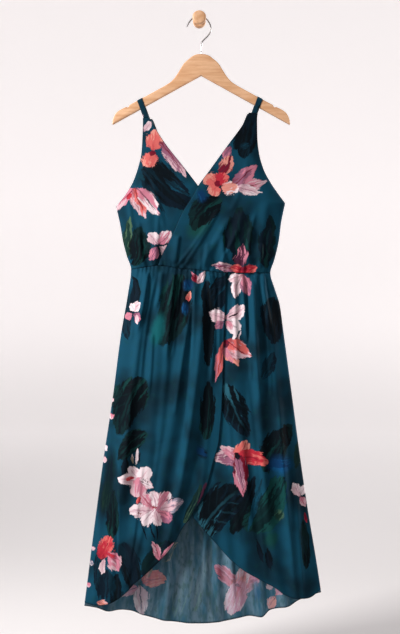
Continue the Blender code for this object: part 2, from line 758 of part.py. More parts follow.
def build_hanger(material, collection, cutters):
    outline = [*HANGER_TOP_EDGE, *HANGER_TIP, HANGER_UNDER_APEX]
    points = [(p.out, -p.down) for p in outline]
    points += [(-p.out, -p.down) for p in reversed(outline[1:-1])]
    curve = bpy.data.curves.new("hanger_wood", "CURVE")
    curve.dimensions = "2D"
    curve.fill_mode = "BOTH"
    curve.extrude = HANGER_THICKNESS / 2
    spline = curve.splines.new("POLY")
    spline.points.add(len(points) - 1)
    for point, (out, up) in zip(spline.points, points):
        point.co = (out, up, 0.0, 1.0)
    spline.use_cyclic_u = True
    drawn = bpy.data.objects.new("hanger_outline", curve)
    bpy.context.scene.collection.objects.link(drawn)
    drawn.rotation_euler = (math.radians(90), 0.0, 0.0)
    drawn.location = (HANGER_CENTRE_X, HOOK_PLANE_Y, HANGER_TOP_Z)
    bpy.context.view_layer.update()
    flat = bpy.data.meshes.new_from_object(drawn.evaluated_get(bpy.context.evaluated_depsgraph_get()))
    wood = bpy.data.objects.new("hanger_wood", flat)
    wood.matrix_world = drawn.matrix_world
    bpy.data.objects.remove(drawn)
    bpy.context.scene.collection.objects.link(wood)
    weld = bmesh.new()
    weld.from_mesh(flat)
    bmesh.ops.remove_doubles(weld, verts=weld.verts, dist=0.00005)
    weld.to_mesh(flat)
    weld.free()
    edge = wood.modifiers.new("Rounded edges", "BEVEL")
    edge.width = HANGER_EDGE_ROUND
    edge.segments = 2
    edge.limit_method = "ANGLE"
    edge.angle_limit = math.radians(60)

    bpy.ops.mesh.primitive_cylinder_add(
        vertices=16,
        radius=HOOK_SOCKET_RADIUS,
        depth=HOOK_SOCKET_DEPTH * 2,
        location=(HANGER_CENTRE_X, HOOK_PLANE_Y, HANGER_TOP_Z),
    )
    socket = bpy.context.object
    socket.name = "hook_socket_cutter"
    finish_piece(socket, material, cutters)
    socket.hide_render = True
    socket.display_type = "WIRE"
    hole = wood.modifiers.new("Hook socket", "BOOLEAN")
    hole.object = socket
    hole.operation = "DIFFERENCE"
    hole.solver = "EXACT"
    return finish_piece(wood, material, collection)


def smooth_route(points, per_span):
    """Points along a smooth curve through the given ones."""
    route = []
    for i in range(len(points) - 1):
        before = Vector(points[max(0, i - 1)])
        start = Vector(points[i])
        end = Vector(points[i + 1])
        after = Vector(points[min(len(points) - 1, i + 2)])
        for k in range(per_span):
            t = k / per_span
            route.append(
                0.5 * (2 * start + (end - before) * t
                       + (2 * before - 5 * start + 4 * end - after) * t * t
                       + (3 * start - before - 3 * end + after) * t ** 3)
            )
    route.append(Vector(points[-1]))
    return route


def build_hook(material, collection):
    curve = bpy.data.curves.new("hanger_hook", "CURVE")
    curve.dimensions = "3D"
    curve.bevel_depth = HOOK_WIRE_RADIUS
    curve.bevel_resolution = 2
    curve.use_fill_caps = True
    route = smooth_route(HOOK_ROUTE, 2)
    route.append(Vector((HANGER_CENTRE_X, HANGER_TOP_Z - HOOK_SOCKET_DEPTH + SEAM_GAP)))
    spline = curve.splines.new("POLY")
    spline.points.add(len(route) - 1)
    for point, (x, z) in zip(spline.points, route):
        point.co = (x, HOOK_PLANE_Y, z, 1.0)
    hook = bpy.data.objects.new("hanger_hook", curve)
    bpy.context.scene.collection.objects.link(hook)
    return finish_piece(hook, material, collection)


def build_peg(material, collection):
    profile = bpy.data.meshes.new("wall_peg")
    points = [(radius, 0.0, out) for radius, out in PEG_PROFILE]
    profile.from_pydata(points, [(i, i + 1) for i in range(len(points) - 1)], [])
    peg = bpy.data.objects.new("wall_peg", profile)
    bpy.context.scene.collection.objects.link(peg)
    peg.rotation_euler = (math.radians(90), 0.0, 0.0)
    turn = peg.modifiers.new("Turned", "SCREW")
    turn.steps = 28
    turn.render_steps = 28
    turn.use_merge_vertices = True
    turn.merge_threshold = 0.00001
    return finish_piece(peg, material, collection)


clear_scene()
parts = new_collection("wrap_dress")
cutters = new_collection("cutters")
cloth = new_material("printed_cloth", PRINTED_CLOTH, 0.75)
wood = new_material("pale_wood", WOOD, 0.5)
steel = new_material("hook_steel", STEEL, 0.35, 1.0)
build_bodice(cloth, parts)
build_skirt(cloth, parts)
build_strap("strap_left", STRAP_LEFT_TOP_X, LEFT_ARMHOLE, cloth, parts)
build_strap("strap_right", STRAP_RIGHT_TOP_X, RIGHT_ARMHOLE, cloth, parts)
build_hanger(wood, parts, cutters)
build_hook(steel, parts)
build_peg(wood, parts)
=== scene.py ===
import math

import bpy
import numpy as np
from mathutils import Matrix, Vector


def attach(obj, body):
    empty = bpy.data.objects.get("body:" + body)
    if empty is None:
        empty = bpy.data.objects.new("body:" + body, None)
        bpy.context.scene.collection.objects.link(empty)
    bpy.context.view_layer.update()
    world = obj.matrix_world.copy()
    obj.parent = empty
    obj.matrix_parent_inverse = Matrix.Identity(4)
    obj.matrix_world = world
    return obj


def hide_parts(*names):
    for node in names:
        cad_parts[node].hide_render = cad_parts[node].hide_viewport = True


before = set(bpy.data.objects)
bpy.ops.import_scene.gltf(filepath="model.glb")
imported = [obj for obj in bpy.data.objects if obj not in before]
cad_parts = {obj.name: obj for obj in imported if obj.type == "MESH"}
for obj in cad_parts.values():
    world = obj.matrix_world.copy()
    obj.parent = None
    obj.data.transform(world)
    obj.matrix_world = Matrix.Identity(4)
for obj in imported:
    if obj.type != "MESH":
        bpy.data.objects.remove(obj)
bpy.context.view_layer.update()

# The dress faces -Y and hangs from a peg whose back is at y = 0. Heights are below the peg.
# Outlines are (height, x), hems are (share across, height), the waist seam is (x, height).
cut = {
    "leftArmhole": [(-0.2480, -0.1397), (-0.2550, -0.1392), (-0.2950, -0.1405), (-0.3350, -0.1432),
                    (-0.3720, -0.1520), (-0.4070, -0.1650), (-0.4385, -0.1838), (-0.4670, -0.2068)],
    "rightArmhole": [(-0.2350, 0.1442), (-0.2525, 0.1428), (-0.2980, 0.1436), (-0.3366, 0.1482),
                     (-0.3747, 0.1594), (-0.4098, 0.1784), (-0.4380, 0.1980), (-0.4590, 0.2135)],
    "leftSide": [(-0.4670, -0.2068), (-0.5115, -0.1966), (-0.5500, -0.1902), (-0.5880, -0.1807),
                 (-0.6240, -0.1697), (-0.6864, -0.1778), (-0.7855, -0.1947), (-0.9404, -0.2149),
                 (-1.0950, -0.2380), (-1.2645, -0.2609), (-1.4064, -0.2789), (-1.4640, -0.2865)],
    "rightSide": [(-0.4590, 0.2135), (-0.4734, 0.2102), (-0.5050, 0.2038), (-0.5528, 0.1975),
                  (-0.6004, 0.1863), (-0.6320, 0.1768), (-0.6710, 0.1874), (-0.7113, 0.1999),
                  (-0.7671, 0.2076), (-0.9404, 0.2307), (-1.0984, 0.2516), (-1.2222, 0.2698),
                  (-1.3491, 0.2910), (-1.4640, 0.3085)],
    "underNeck": [(-0.2480, -0.1240), (-0.2560, -0.1197), (-0.3080, -0.0878), (-0.3650, -0.0438),
                  (-0.4185, -0.0028), (-0.4600, 0.0260), (-0.5200, 0.0600), (-0.5800, 0.0860),
                  (-0.6320, 0.1000)],
    "overNeck": [(-0.2350, 0.1235), (-0.2535, 0.1153), (-0.3180, 0.0699), (-0.3840, 0.0225),
                 (-0.4187, -0.0027), (-0.4470, -0.0186), (-0.4880, -0.0438), (-0.5450, -0.0690),
                 (-0.5940, -0.0942), (-0.6135, -0.1021)],
    "backNeck": [(0.000, -0.2480), (0.079, -0.2480), (0.131, -0.2850), (0.188, -0.3200),
                 (0.345, -0.3850), (0.487, -0.4500), (0.615, -0.3850), (0.785, -0.3200),
                 (0.840, -0.2850), (0.895, -0.2525), (0.915, -0.2350), (1.000, -0.2350)],
    "waist": [(-0.175, -0.6240), (-0.140, -0.6190), (-0.100, -0.6145), (-0.050, -0.6210),
              (0.010, -0.6270), (0.065, -0.6320), (0.120, -0.6325), (0.185, -0.6320)],
    "overTulip": [(-0.6100, 0.0660), (-0.6380, 0.0658), (-0.8230, 0.0597), (-0.9460, 0.0560),
                  (-1.0450, 0.0486), (-1.1000, 0.0338), (-1.1440, 0.0225), (-1.1880, 0.0050),
                  (-1.2350, -0.0205), (-1.3000, -0.0300), (-1.4700, -0.0450)],
    "underTulip": [(-0.6100, -0.0740), (-0.6380, -0.0735), (-0.8230, -0.0670), (-0.9460, -0.0630),
                   (-1.0450, -0.0560), (-1.1000, -0.0410), (-1.1440, -0.0310), (-1.1880, -0.0230),
                   (-1.2325, -0.0163), (-1.3000, -0.0095), (-1.4700, 0.0010)],
    "overHem": [(0.00, -1.4520), (0.14, -1.4545), (0.28, -1.4460), (0.41, -1.4220), (0.51, -1.3930),
                (0.63, -1.3660), (0.74, -1.3390), (0.87, -1.2940), (0.94, -1.2560), (1.00, -1.2350)],
    "underHem": [(0.00, -1.2325), (0.07, -1.2610), (0.15, -1.2900), (0.23, -1.3190), (0.30, -1.3430),
                 (0.38, -1.3640), (0.49, -1.3850), (0.56, -1.3980), (0.63, -1.4090), (0.70, -1.4270),
                 (0.78, -1.4360), (0.88, -1.4365), (1.00, -1.4185)],
    "backHem": [(0.00, -1.4600), (0.05, -1.4660), (0.10, -1.4760), (0.14, -1.4710), (0.19, -1.4740),
                (0.26, -1.4880), (0.34, -1.5000), (0.49, -1.5075), (0.59, -1.5010), (0.69, -1.4880),
                (0.74, -1.4910), (0.78, -1.4730), (0.86, -1.4620), (0.90, -1.4480), (1.00, -1.4260)],
    # (height, how far out), at the side seams and how much further the front and back swell
    "sideDepth": [(-0.2500, -0.0240), (-0.5000, -0.0240), (-0.5980, -0.0236), (-0.6150, -0.0235),
                  (-0.7000, -0.0238), (-0.8500, -0.0250), (-1.1000, -0.0260), (-1.5200, -0.0270)],
    "frontSwell": [(-0.2500, 0.0010), (-0.3300, 0.0060), (-0.4200, 0.0150), (-0.5000, 0.0190),
                   (-0.5700, 0.0190), (-0.5980, 0.0175), (-0.6080, 0.0140), (-0.6150, 0.0116),
                   (-0.6400, 0.0112), (-0.7000, 0.0150), (-0.8500, 0.0205), (-1.1000, 0.0235),
                   (-1.5200, 0.0250)],
    "backSwell": [(-0.2500, 0.0005), (-0.3300, 0.0020), (-0.4200, 0.0045), (-0.5000, 0.0060),
                  (-0.5700, 0.0075), (-0.5980, 0.0085), (-0.6080, 0.0080), (-0.6150, 0.0072),
                  (-0.6400, 0.0070), (-0.7000, 0.0085), (-0.8500, 0.0110), (-1.1000, 0.0125),
                  (-1.5200, 0.0130)],
}
cloth = {
    "thickness": 0.0006,  # the real cloth with its print, thinner than the solid wall
    "wall": 0.0012,
    "seamGap": 0.0003,
    "layerLift": 0.0026,
    "shoulderFront": -0.0330,
    "shoulderBack": -0.0182,
    "underarmShare": 0.56,
    "flatness": 2.6,  # how flat the swell is in the middle
    "roundness": 0.6,  # and how it turns to the side edges
    "shoulderLean": 0.8,
    "foldReach": 1.6,  # folds reach this far into the swell's edges
    "creaseDepth": 1.4,
    "rowCrowding": 1.25,  # rows lie closer together at the waist
    "backFolds": 1.3,  # how much deeper the back's folds and pleats are than their tables say
    "backGathers": 1.6,
}
# Where a panel that runs in under another rises to its own folds, and where the upper one lifts off it.
wrap = {
    "skirtLift": 0.16,  # share of the over skirt front, from its side seam
    "skirtCover": 0.004,
    "skirtFade": 0.020,
    "skirtCrossing": -1.235,
    "crossingFade": 0.03,
    "bodiceFade": 0.016,
    "bodiceLift": 0.2,  # share of the over bodice front, from its armhole
    "bodiceLiftTop": -0.30,
    "bodiceLiftFade": 0.05,
}


def mix(a, b, share):
    return a + (b - a) * share


def ease(share):
    share = np.clip(share, 0.0, 1.0)
    return share * share * (3 - 2 * share)


def curveAt(name, at):  # smooth reading of a table, with no overshoot between its rows
    places, values = np.array(cut[name], dtype=float).T
    if places[0] > places[-1]:
        places = places[::-1]
        values = values[::-1]
    steps = np.diff(places)
    rates = np.diff(values) / steps
    slopes = np.zeros(len(values))
    slopes[0] = rates[0]
    slopes[-1] = rates[-1]
    alike = rates[:-1] * rates[1:] > 0
    total = np.where(alike, rates[:-1] + rates[1:], 1.0)
    slopes[1:-1] = np.where(alike, 2 * rates[:-1] * rates[1:] / total, 0.0)
    at = np.clip(at, places[0], places[-1])
    i = np.clip(np.searchsorted(places, at, side="right") - 1, 0, len(steps) - 1)
    t = (at - places[i]) / steps[i]
    return (values[i] * (1 + 2 * t) * (1 - t) ** 2 + values[i + 1] * t * t * (3 - 2 * t)
            + slopes[i] * steps[i] * t * (1 - t) ** 2 - slopes[i + 1] * steps[i] * t * t * (1 - t))


def leftEdge(height):
    armhole = height > cut["leftArmhole"][-1][0]
    return np.where(armhole, curveAt("leftArmhole", height), curveAt("leftSide", height))


def rightEdge(height):
    armhole = height > cut["rightArmhole"][-1][0]
    return np.where(armhole, curveAt("rightArmhole", height), curveAt("rightSide", height))


def swellAt(x, height):  # 0 at the side edges, 1 in the middle
    left = leftEdge(height)
    right = rightEdge(height)
    across = np.abs(2 * x - left - right) / (right - left)
    return np.maximum(0.0, 1 - np.minimum(1.0, across) ** cloth["flatness"]) ** cloth["roundness"]


def sideAt(x, height, shoulder):
    side = curveAt("sideDepth", height)
    leftTop, leftLow = cut["leftArmhole"][0][0], cut["leftArmhole"][-1][0]
    rightTop, rightLow = cut["rightArmhole"][0][0], cut["rightArmhole"][-1][0]
    low = np.where(x < 0, leftLow, rightLow)
    top = np.where(x < 0, leftTop, rightTop)
    return mix(side, shoulder, ease((height - low) / (top - low)) ** cloth["shoulderLean"])


# Folds are (top, bottom, x at the top, in the middle and at the bottom, half width, rise).
folds = {
    "skirtOver": [(-0.640, -1.330, 0.014, -0.017, -0.085, 0.011, 0.0120),
                  (-0.640, -1.440, -0.020, -0.074, -0.150, 0.017, 0.0080),
                  (-0.630, -1.400, -0.090, -0.118, -0.160, 0.017, 0.0065),
                  (-0.620, -1.200, -0.122, -0.163, -0.190, 0.011, 0.0080),
                  (-0.950, -1.500, -0.186, -0.206, -0.230, 0.011, 0.0055),
                  (-0.620, -1.050, -0.062, -0.078, -0.098, 0.010, 0.0060),
                  (-0.900, -1.500, -0.238, -0.246, -0.264, 0.009, 0.0035)],
    "skirtUnder": [(-0.625, -1.250, 0.132, 0.146, 0.168, 0.012, 0.0090),
                   (-0.640, -1.480, 0.170, 0.203, 0.243, 0.012, 0.0065),
                   (-0.700, -1.420, 0.090, 0.096, 0.118, 0.020, 0.0050),
                   (-1.050, -1.500, 0.232, 0.250, 0.268, 0.010, 0.0045),
                   (-1.080, -1.480, 0.150, 0.178, 0.205, 0.014, 0.0045),
                   (-1.150, -1.450, 0.060, 0.068, 0.082, 0.013, 0.0035)],
    "skirtBack": [(-0.640, -1.520, -0.130, -0.165, -0.215, 0.014, -0.0060),
                  (-0.700, -1.520, -0.070, -0.105, -0.150, 0.013, -0.0050),
                  (-0.660, -1.520, -0.040, -0.062, -0.089, 0.013, -0.0070),
                  (-0.720, -1.520, -0.005, -0.016, -0.030, 0.016, -0.0065),
                  (-0.650, -1.520, 0.030, 0.038, 0.048, 0.013, -0.0060),
                  (-0.760, -1.520, 0.066, 0.082, 0.104, 0.017, -0.0070),
                  (-0.640, -1.520, 0.110, 0.132, 0.160, 0.012, -0.0055),
                  (-0.720, -1.520, 0.145, 0.180, 0.222, 0.014, -0.0060)],
    "bodiceUnder": [(-0.470, -0.600, -0.128, -0.124, -0.112, 0.013, 0.0035),
                    (-0.300, -0.470, -0.120, -0.132, -0.160, 0.012, 0.0022)],
    "bodiceOver": [(-0.490, -0.622, 0.078, 0.040, 0.004, 0.010, 0.0050),
                   (-0.470, -0.625, 0.112, 0.086, 0.066, 0.011, 0.0040),
                   (-0.450, -0.600, 0.165, 0.158, 0.140, 0.013, 0.0035)],
    "bodiceBack": [(-0.470, -0.600, -0.110, -0.095, -0.080, 0.013, -0.0020),
                   (-0.460, -0.600, 0.020, 0.012, 0.004, 0.012, -0.0022),
                   (-0.470, -0.600, 0.120, 0.106, 0.095, 0.013, -0.0020)],
}
# Creases are finer, in the same columns.
creases = {
    "skirtOver": [(-0.640, -0.900, 0.040, 0.036, 0.030, 0.005, 0.0022),
                  (-0.640, -0.860, 0.054, 0.050, 0.050, 0.004, 0.0018),
                  (-0.640, -0.980, -0.004, -0.036, -0.060, 0.005, 0.0026),
                  (-0.640, -0.840, -0.046, -0.056, -0.066, 0.005, 0.0024),
                  (-0.625, -0.930, -0.104, -0.132, -0.146, 0.005, 0.0024),
                  (-0.625, -0.800, -0.142, -0.158, -0.168, 0.005, 0.0022),
                  (-1.000, -1.400, -0.092, -0.124, -0.180, 0.006, 0.0018),
                  (-0.980, -1.300, -0.030, -0.052, -0.082, 0.006, 0.0018),
                  (-0.760, -1.240, 0.030, 0.022, -0.006, 0.007, 0.0016)],
    "skirtUnder": [(-0.635, -0.860, 0.082, 0.088, 0.092, 0.005, 0.0024),
                   (-0.635, -0.800, 0.104, 0.112, 0.118, 0.005, 0.0020),
                   (-0.635, -0.900, 0.120, 0.126, 0.128, 0.004, 0.0020),
                   (-0.640, -0.940, 0.156, 0.168, 0.176, 0.005, 0.0026),
                   (-0.900, -1.380, 0.120, 0.142, 0.164, 0.006, 0.0018),
                   (-1.000, -1.420, 0.196, 0.216, 0.232, 0.006, 0.0020),
                   (-0.900, -1.300, 0.070, 0.080, 0.100, 0.006, 0.0014)],
    "skirtBack": [(-0.640, -0.900, -0.150, -0.160, -0.172, 0.005, -0.0018),
                  (-0.640, -0.860, -0.096, -0.104, -0.112, 0.005, -0.0020),
                  (-0.640, -0.960, -0.020, -0.024, -0.030, 0.005, -0.0020),
                  (-0.640, -0.880, 0.016, 0.018, 0.022, 0.005, -0.0018),
                  (-0.640, -0.940, 0.084, 0.090, 0.098, 0.005, -0.0020),
                  (-0.640, -0.860, 0.152, 0.162, 0.172, 0.005, -0.0018)],
    "bodiceUnder": [(-0.430, -0.620, -0.176, -0.166, -0.150, 0.005, 0.0020),
                    (-0.500, -0.618, -0.150, -0.144, -0.136, 0.004, 0.0022),
                    (-0.460, -0.615, -0.100, -0.104, -0.106, 0.005, 0.0020),
                    (-0.380, -0.520, -0.120, -0.104, -0.088, 0.006, 0.0014)],
    "bodiceOver": [(-0.470, -0.620, 0.050, 0.008, -0.040, 0.006, 0.0026),
                   (-0.500, -0.622, 0.026, -0.012, -0.062, 0.005, 0.0024),
                   (-0.520, -0.625, 0.098, 0.072, 0.046, 0.005, 0.0024),
                   (-0.480, -0.628, 0.140, 0.122, 0.110, 0.005, 0.0022),
                   (-0.520, -0.628, 0.180, 0.168, 0.160, 0.005, 0.0022),
                   (-0.350, -0.480, 0.120, 0.104, 0.080, 0.007, 0.0014)],
    "bodiceBack": [(-0.480, -0.618, -0.150, -0.142, -0.134, 0.005, -0.0014),
                   (-0.500, -0.622, -0.044, -0.040, -0.034, 0.005, -0.0014),
                   (-0.490, -0.625, 0.060, 0.056, 0.050, 0.005, -0.0014),
                   (-0.480, -0.625, 0.160, 0.152, 0.146, 0.005, -0.0014)],
}
# Pleats have one steep flank, so they have a left and a right half width: (top, bottom, x at the top, in the
# middle and at the bottom, left width, right width, rise).
pleats = {
    "skirtOver": [(-1.050, -1.500, -0.196, -0.198, -0.199, 0.0030, 0.0240, 0.0065),
                  (-0.650, -1.180, -0.011, -0.021, -0.050, 0.0045, 0.0170, 0.0100),
                  (-0.630, -0.800, -0.128, -0.140, -0.160, 0.0130, 0.0050, 0.0080),
                  (-0.780, -0.960, -0.116, -0.120, -0.128, 0.0100, 0.0050, 0.0060),
                  (-0.636, -0.860, -0.062, -0.072, -0.082, 0.0100, 0.0035, 0.0075),
                  (-0.636, -0.760, -0.034, -0.038, -0.044, 0.0035, 0.0090, 0.0060),
                  (-0.636, -0.740, 0.026, 0.028, 0.030, 0.0035, 0.0100, 0.0050),
                  (-0.630, -0.730, -0.094, -0.100, -0.110, 0.0035, 0.0080, 0.0060),
                  (-1.100, -1.440, -0.140, -0.160, -0.186, 0.0130, 0.0050, 0.0050),
                  (-0.900, -1.200, -0.168, -0.176, -0.186, 0.0100, 0.0040, 0.0045)],
    "skirtUnder": [(-1.170, -1.470, 0.2420, 0.2500, 0.2610, 0.0240, 0.0030, 0.0075),
                   (-0.640, -0.980, 0.132, 0.138, 0.152, 0.0060, 0.0130, 0.0090),
                   (-0.636, -0.820, 0.108, 0.112, 0.118, 0.0100, 0.0035, 0.0065),
                   (-0.636, -0.740, 0.084, 0.088, 0.090, 0.0035, 0.0090, 0.0060),
                   (-0.636, -0.780, 0.160, 0.168, 0.178, 0.0090, 0.0035, 0.0070),
                   (-0.940, -1.300, 0.196, 0.206, 0.220, 0.0045, 0.0150, 0.0055),
                   (-1.000, -1.320, 0.104, 0.118, 0.140, 0.0150, 0.0050, 0.0040)],
    "skirtBack": [(-0.640, -0.900, -0.080, -0.090, -0.104, 0.0040, 0.0120, -0.0060),
                  (-0.640, -0.820, 0.050, 0.054, 0.060, 0.0110, 0.0040, -0.0060),
                  (-0.900, -1.510, -0.100, -0.112, -0.126, 0.0040, 0.0150, -0.0070),
                  (-1.050, -1.510, -0.064, -0.070, -0.078, 0.0120, 0.0040, -0.0080),
                  (-0.980, -1.510, 0.010, 0.012, 0.018, 0.0040, 0.0140, -0.0075),
                  (-1.100, -1.510, 0.070, 0.078, 0.090, 0.0140, 0.0045, -0.0065)],
    "bodiceUnder": [(-0.530, -0.622, -0.150, -0.146, -0.138, 0.0100, 0.0035, 0.0060),
                    (-0.560, -0.620, -0.110, -0.108, -0.106, 0.0035, 0.0090, 0.0055)],
    "bodiceOver": [(-0.540, -0.628, -0.050, -0.056, -0.060, 0.0090, 0.0035, 0.0045),
                   (-0.560, -0.630, 0.020, 0.016, 0.014, 0.0035, 0.0090, 0.0050),
                   (-0.540, -0.630, 0.060, 0.060, 0.062, 0.0100, 0.0035, 0.0055),
                   (-0.520, -0.630, 0.126, 0.122, 0.120, 0.0035, 0.0100, 0.0060),
                   (-0.560, -0.630, 0.156, 0.154, 0.150, 0.0090, 0.0035, 0.0055)],
    "bodiceBack": [(-0.560, -0.622, -0.090, -0.088, -0.086, 0.0035, 0.0090, -0.0040),
                   (-0.560, -0.626, 0.036, 0.034, 0.032, 0.0090, 0.0035, -0.0040),
                   (-0.550, -0.626, 0.110, 0.108, 0.106, 0.0035, 0.0090, -0.0040)],
}


# How folds and pleats fade in from their tops and out at their bottoms, as shares of their length.
fades = {"fold": 0.16, "foldEnd": 0.35, "pleatTop": 0.12, "pleatStart": 0.25, "pleatBottom": 0.30}
gathers = {
    "middle": 0.006,
    "first": -0.19,
    "last": 0.20,
    "skirt": {"pitch": 0.0112, "width": 0.0034, "rise": 0.0034, "shortest": 0.025, "longest": 0.125,
              "fan": 1.1, "seed": 11},
    "bodice": {"pitch": 0.0118, "width": 0.0036, "rise": 0.0028, "shortest": 0.018, "longest": 0.095,
               "fan": 0.35, "seed": 23},
}
drape = {"rise": 0.0005, "frontSeed": 1.3, "backSeed": 4.1, "backShare": 0.5}


def ridgeAt(top, bottom, xTop, xMiddle, xBottom, height):  # share of the way down a ridge, and its x there
    share = (height - top) / (bottom - top)
    line = mix(xTop, xBottom, share) + 4 * share * (1 - share) * (xMiddle - (xTop + xBottom) / 2)
    return share, line


def foldRise(rows, x, height):
    total = np.zeros_like(x)
    for *ridge, halfWidth, rise in rows:
        share, line = ridgeAt(*ridge, height)
        inside = (share >= 0) & (share <= 1)
        fade = ease(share / fades["fold"]) * ease((1 - share) / fades["fold"] + fades["foldEnd"])
        total += np.where(inside, rise * fade * np.exp(-((x - line) / halfWidth) ** 2), 0.0)
    return total


def pleatRise(rows, x, height):
    total = np.zeros_like(x)
    for *ridge, leftWidth, rightWidth, rise in rows:
        share, line = ridgeAt(*ridge, height)
        inside = (share >= 0) & (share <= 1)
        fade = ease(share / fades["pleatTop"] + fades["pleatStart"])
        fade = fade * ease((1 - share) / fades["pleatBottom"])
        width = np.where(x < line, leftWidth, rightWidth)
        total += np.where(inside, rise * fade * np.exp(-((x - line) / width) ** 2), 0.0)
    return total


def gatherRise(kind, x, height):  # short uneven ridges that run away from the elastic
    g = gathers[kind]
    random = np.random.default_rng(g["seed"])
    below = np.abs(height - curveAt("waist", x))
    middle = gathers["middle"]
    fan = 1.0 + below * g["fan"]
    total = np.zeros_like(x)
    for start in np.arange(gathers["first"], gathers["last"], g["pitch"]):
        jitter, length, rise, lean, width = random.random(5)
        reach = mix(g["shortest"], g["longest"], length ** 2)
        line = start + (jitter - 0.5) * 0.7 * g["pitch"]
        place = middle + (line - middle) * fan + (lean - 0.5) * below * 0.16
        fade = 1 - ease(below / reach)
        w = g["width"] * mix(0.75, 1.35, width) * (1 + 5 * below)
        total += g["rise"] * mix(0.5, 1.2, rise) * fade * np.exp(-((x - place) / w) ** 2)
    return total


def drapeRise(x, height, seed):  # slow, shallow unevenness of hanging cloth
    a = np.sin(x * 61 + 7 * np.sin(height * 5.1 + seed) + seed)
    b = np.sin(x * 113 - 4 * np.sin(height * 3.7 + 2 * seed) + 3 * seed)
    c = np.sin(x * 29 + height * 9 + 5 * seed)
    return drape["rise"] * (a + 0.6 * b + 0.8 * c + 2.4)


def frontY(x, height, name, kind, lift):
    shape = swellAt(x, height)
    body = np.minimum(1.0, cloth["foldReach"] * shape)
    out = curveAt("frontSwell", height) * shape + lift
    fine = cloth["creaseDepth"] * foldRise(creases[name], x, height)
    out = out + (foldRise(folds[name], x, height) + fine) * body
    out = out + (pleatRise(pleats[name], x, height) + gatherRise(kind, x, height)) * body
    out = out + drapeRise(x, height, drape["frontSeed"]) * body
    return sideAt(x, height, cloth["shoulderFront"]) - cloth["seamGap"] / 2 - out


def plainFrontY(x, height):
    out = curveAt("frontSwell", height) * swellAt(x, height)
    return sideAt(x, height, cloth["shoulderFront"]) - cloth["seamGap"] / 2 - out


def backY(x, height, name, kind):
    shape = swellAt(x, height)
    body = np.minimum(1.0, cloth["foldReach"] * shape)
    out = curveAt("backSwell", height) * shape
    troughs = foldRise(folds[name], x, height) + foldRise(creases[name], x, height)
    out = out + cloth["backFolds"] * (troughs + pleatRise(pleats[name], x, height)) * body
    slow = drape["backShare"] * drapeRise(x, height, drape["backSeed"])
    out = out - (cloth["backGathers"] * gatherRise(kind, x, height) + slow) * body
    return sideAt(x, height, cloth["shoulderBack"]) + cloth["seamGap"] / 2 + out


def startFresh():
    bpy.ops.object.select_all(action="DESELECT")


def flatAcross(points):  # how far each point lies across its row, laid flat, as x at the row's middle point
    steps = np.linalg.norm(np.diff(points, axis=1), axis=-1)
    along = np.concatenate([np.zeros((len(points), 1)), np.cumsum(steps, axis=1)], axis=1)
    middle = points.shape[1] // 2
    return along - along[:, middle:middle + 1] + points[:, middle:middle + 1, 0]


def clothSheet(name, columns, rows, place, outward):
    # a grid whose points are put at place(share across, share down), with its flat measures as UVs
    startFresh()
    bpy.ops.mesh.primitive_grid_add(x_subdivisions=columns, y_subdivisions=rows, size=2)
    sheet = bpy.context.object
    sheet.name = name
    mesh = sheet.data
    flat = np.empty(len(mesh.vertices) * 3)
    mesh.vertices.foreach_get("co", flat)
    flat = flat.reshape(-1, 3)
    across = np.round((flat[:, 0] + 1) / 2 * columns).astype(int)
    down = np.round((1 - flat[:, 1]) / 2 * rows).astype(int)
    shares = np.arange(columns + 1) / columns
    drops = np.arange(rows + 1) / rows
    points = np.stack(place(*np.meshgrid(shares, drops)), axis=-1)
    mesh.vertices.foreach_set("co", points[down, across].ravel())
    corner = np.empty(len(mesh.loops), dtype=int)
    mesh.loops.foreach_get("vertex_index", corner)
    uv = np.stack([flatAcross(points)[down, across], points[down, across, 2]], axis=-1)[corner]
    mesh.uv_layers[0].name = "cloth"
    mesh.uv_layers["cloth"].uv.foreach_set("vector", uv.ravel())
    if outward > 0:
        mesh.flip_normals()
    mesh.update()
    wall = sheet.modifiers.new("Cloth", "SOLIDIFY")
    wall.thickness = cloth["thickness"]
    wall.offset = 1.0
    count = len(mesh.vertices)
    bpy.ops.object.modifier_apply(modifier=wall.name)
    mesh = sheet.data
    owner = np.empty(len(mesh.loops), dtype=int)
    mesh.loops.foreach_get("vertex_index", owner)
    starts = np.empty(len(mesh.polygons), dtype=int)
    mesh.polygons.foreach_get("loop_start", starts)
    reverse = np.minimum.reduceat((owner >= count).astype(int), starts)
    mesh.polygons.foreach_set("material_index", reverse)
    mesh.shade_smooth()
    return sheet, points


def skirtPlace(left, right, hem, depth):
    def place(share, drop):
        start = cut["waist"][0][1]
        xTop = mix(left(start), right(start), share)
        top = curveAt("waist", xTop) - cloth["seamGap"]
        height = mix(top, curveAt(hem, share), drop ** cloth["rowCrowding"])
        x = mix(left(height), right(height), share)
        return x, depth(share, x, height), height
    return place


def overTulip(height):
    return curveAt("overTulip", height)


def underTulip(height):
    return curveAt("underTulip", height)


inset = (cloth["wall"] - cloth["thickness"]) / 2  # keeps the thin cloth inside the solid's wall


def skirtOverY(share, x, height):
    lift = cloth["layerLift"] * ease(share / wrap["skirtLift"]) + inset
    return frontY(x, height, "skirtOver", "skirt", lift)


def skirtUnderY(share, x, height):
    shown = ease((x - curveAt("overTulip", height) + wrap["skirtCover"]) / wrap["skirtFade"])
    shown = np.maximum(shown, ease((wrap["skirtCrossing"] - height) / wrap["crossingFade"]))
    return mix(plainFrontY(x, height), frontY(x, height, "skirtUnder", "skirt", 0.0), shown) - inset


def skirtBackY(share, x, height):
    return backY(x, height, "skirtBack", "skirt") + inset


waistX = {"left": cut["leftSide"][4][1], "right": cut["rightSide"][5][1]}


# How a bodice panel's rows lie: down the armhole first, then down the side seam.
def downShare(drop):
    armhole = cloth["underarmShare"]
    return np.clip(drop / armhole, 0, 1), np.clip((drop - armhole) / (1 - armhole), 0, 1)


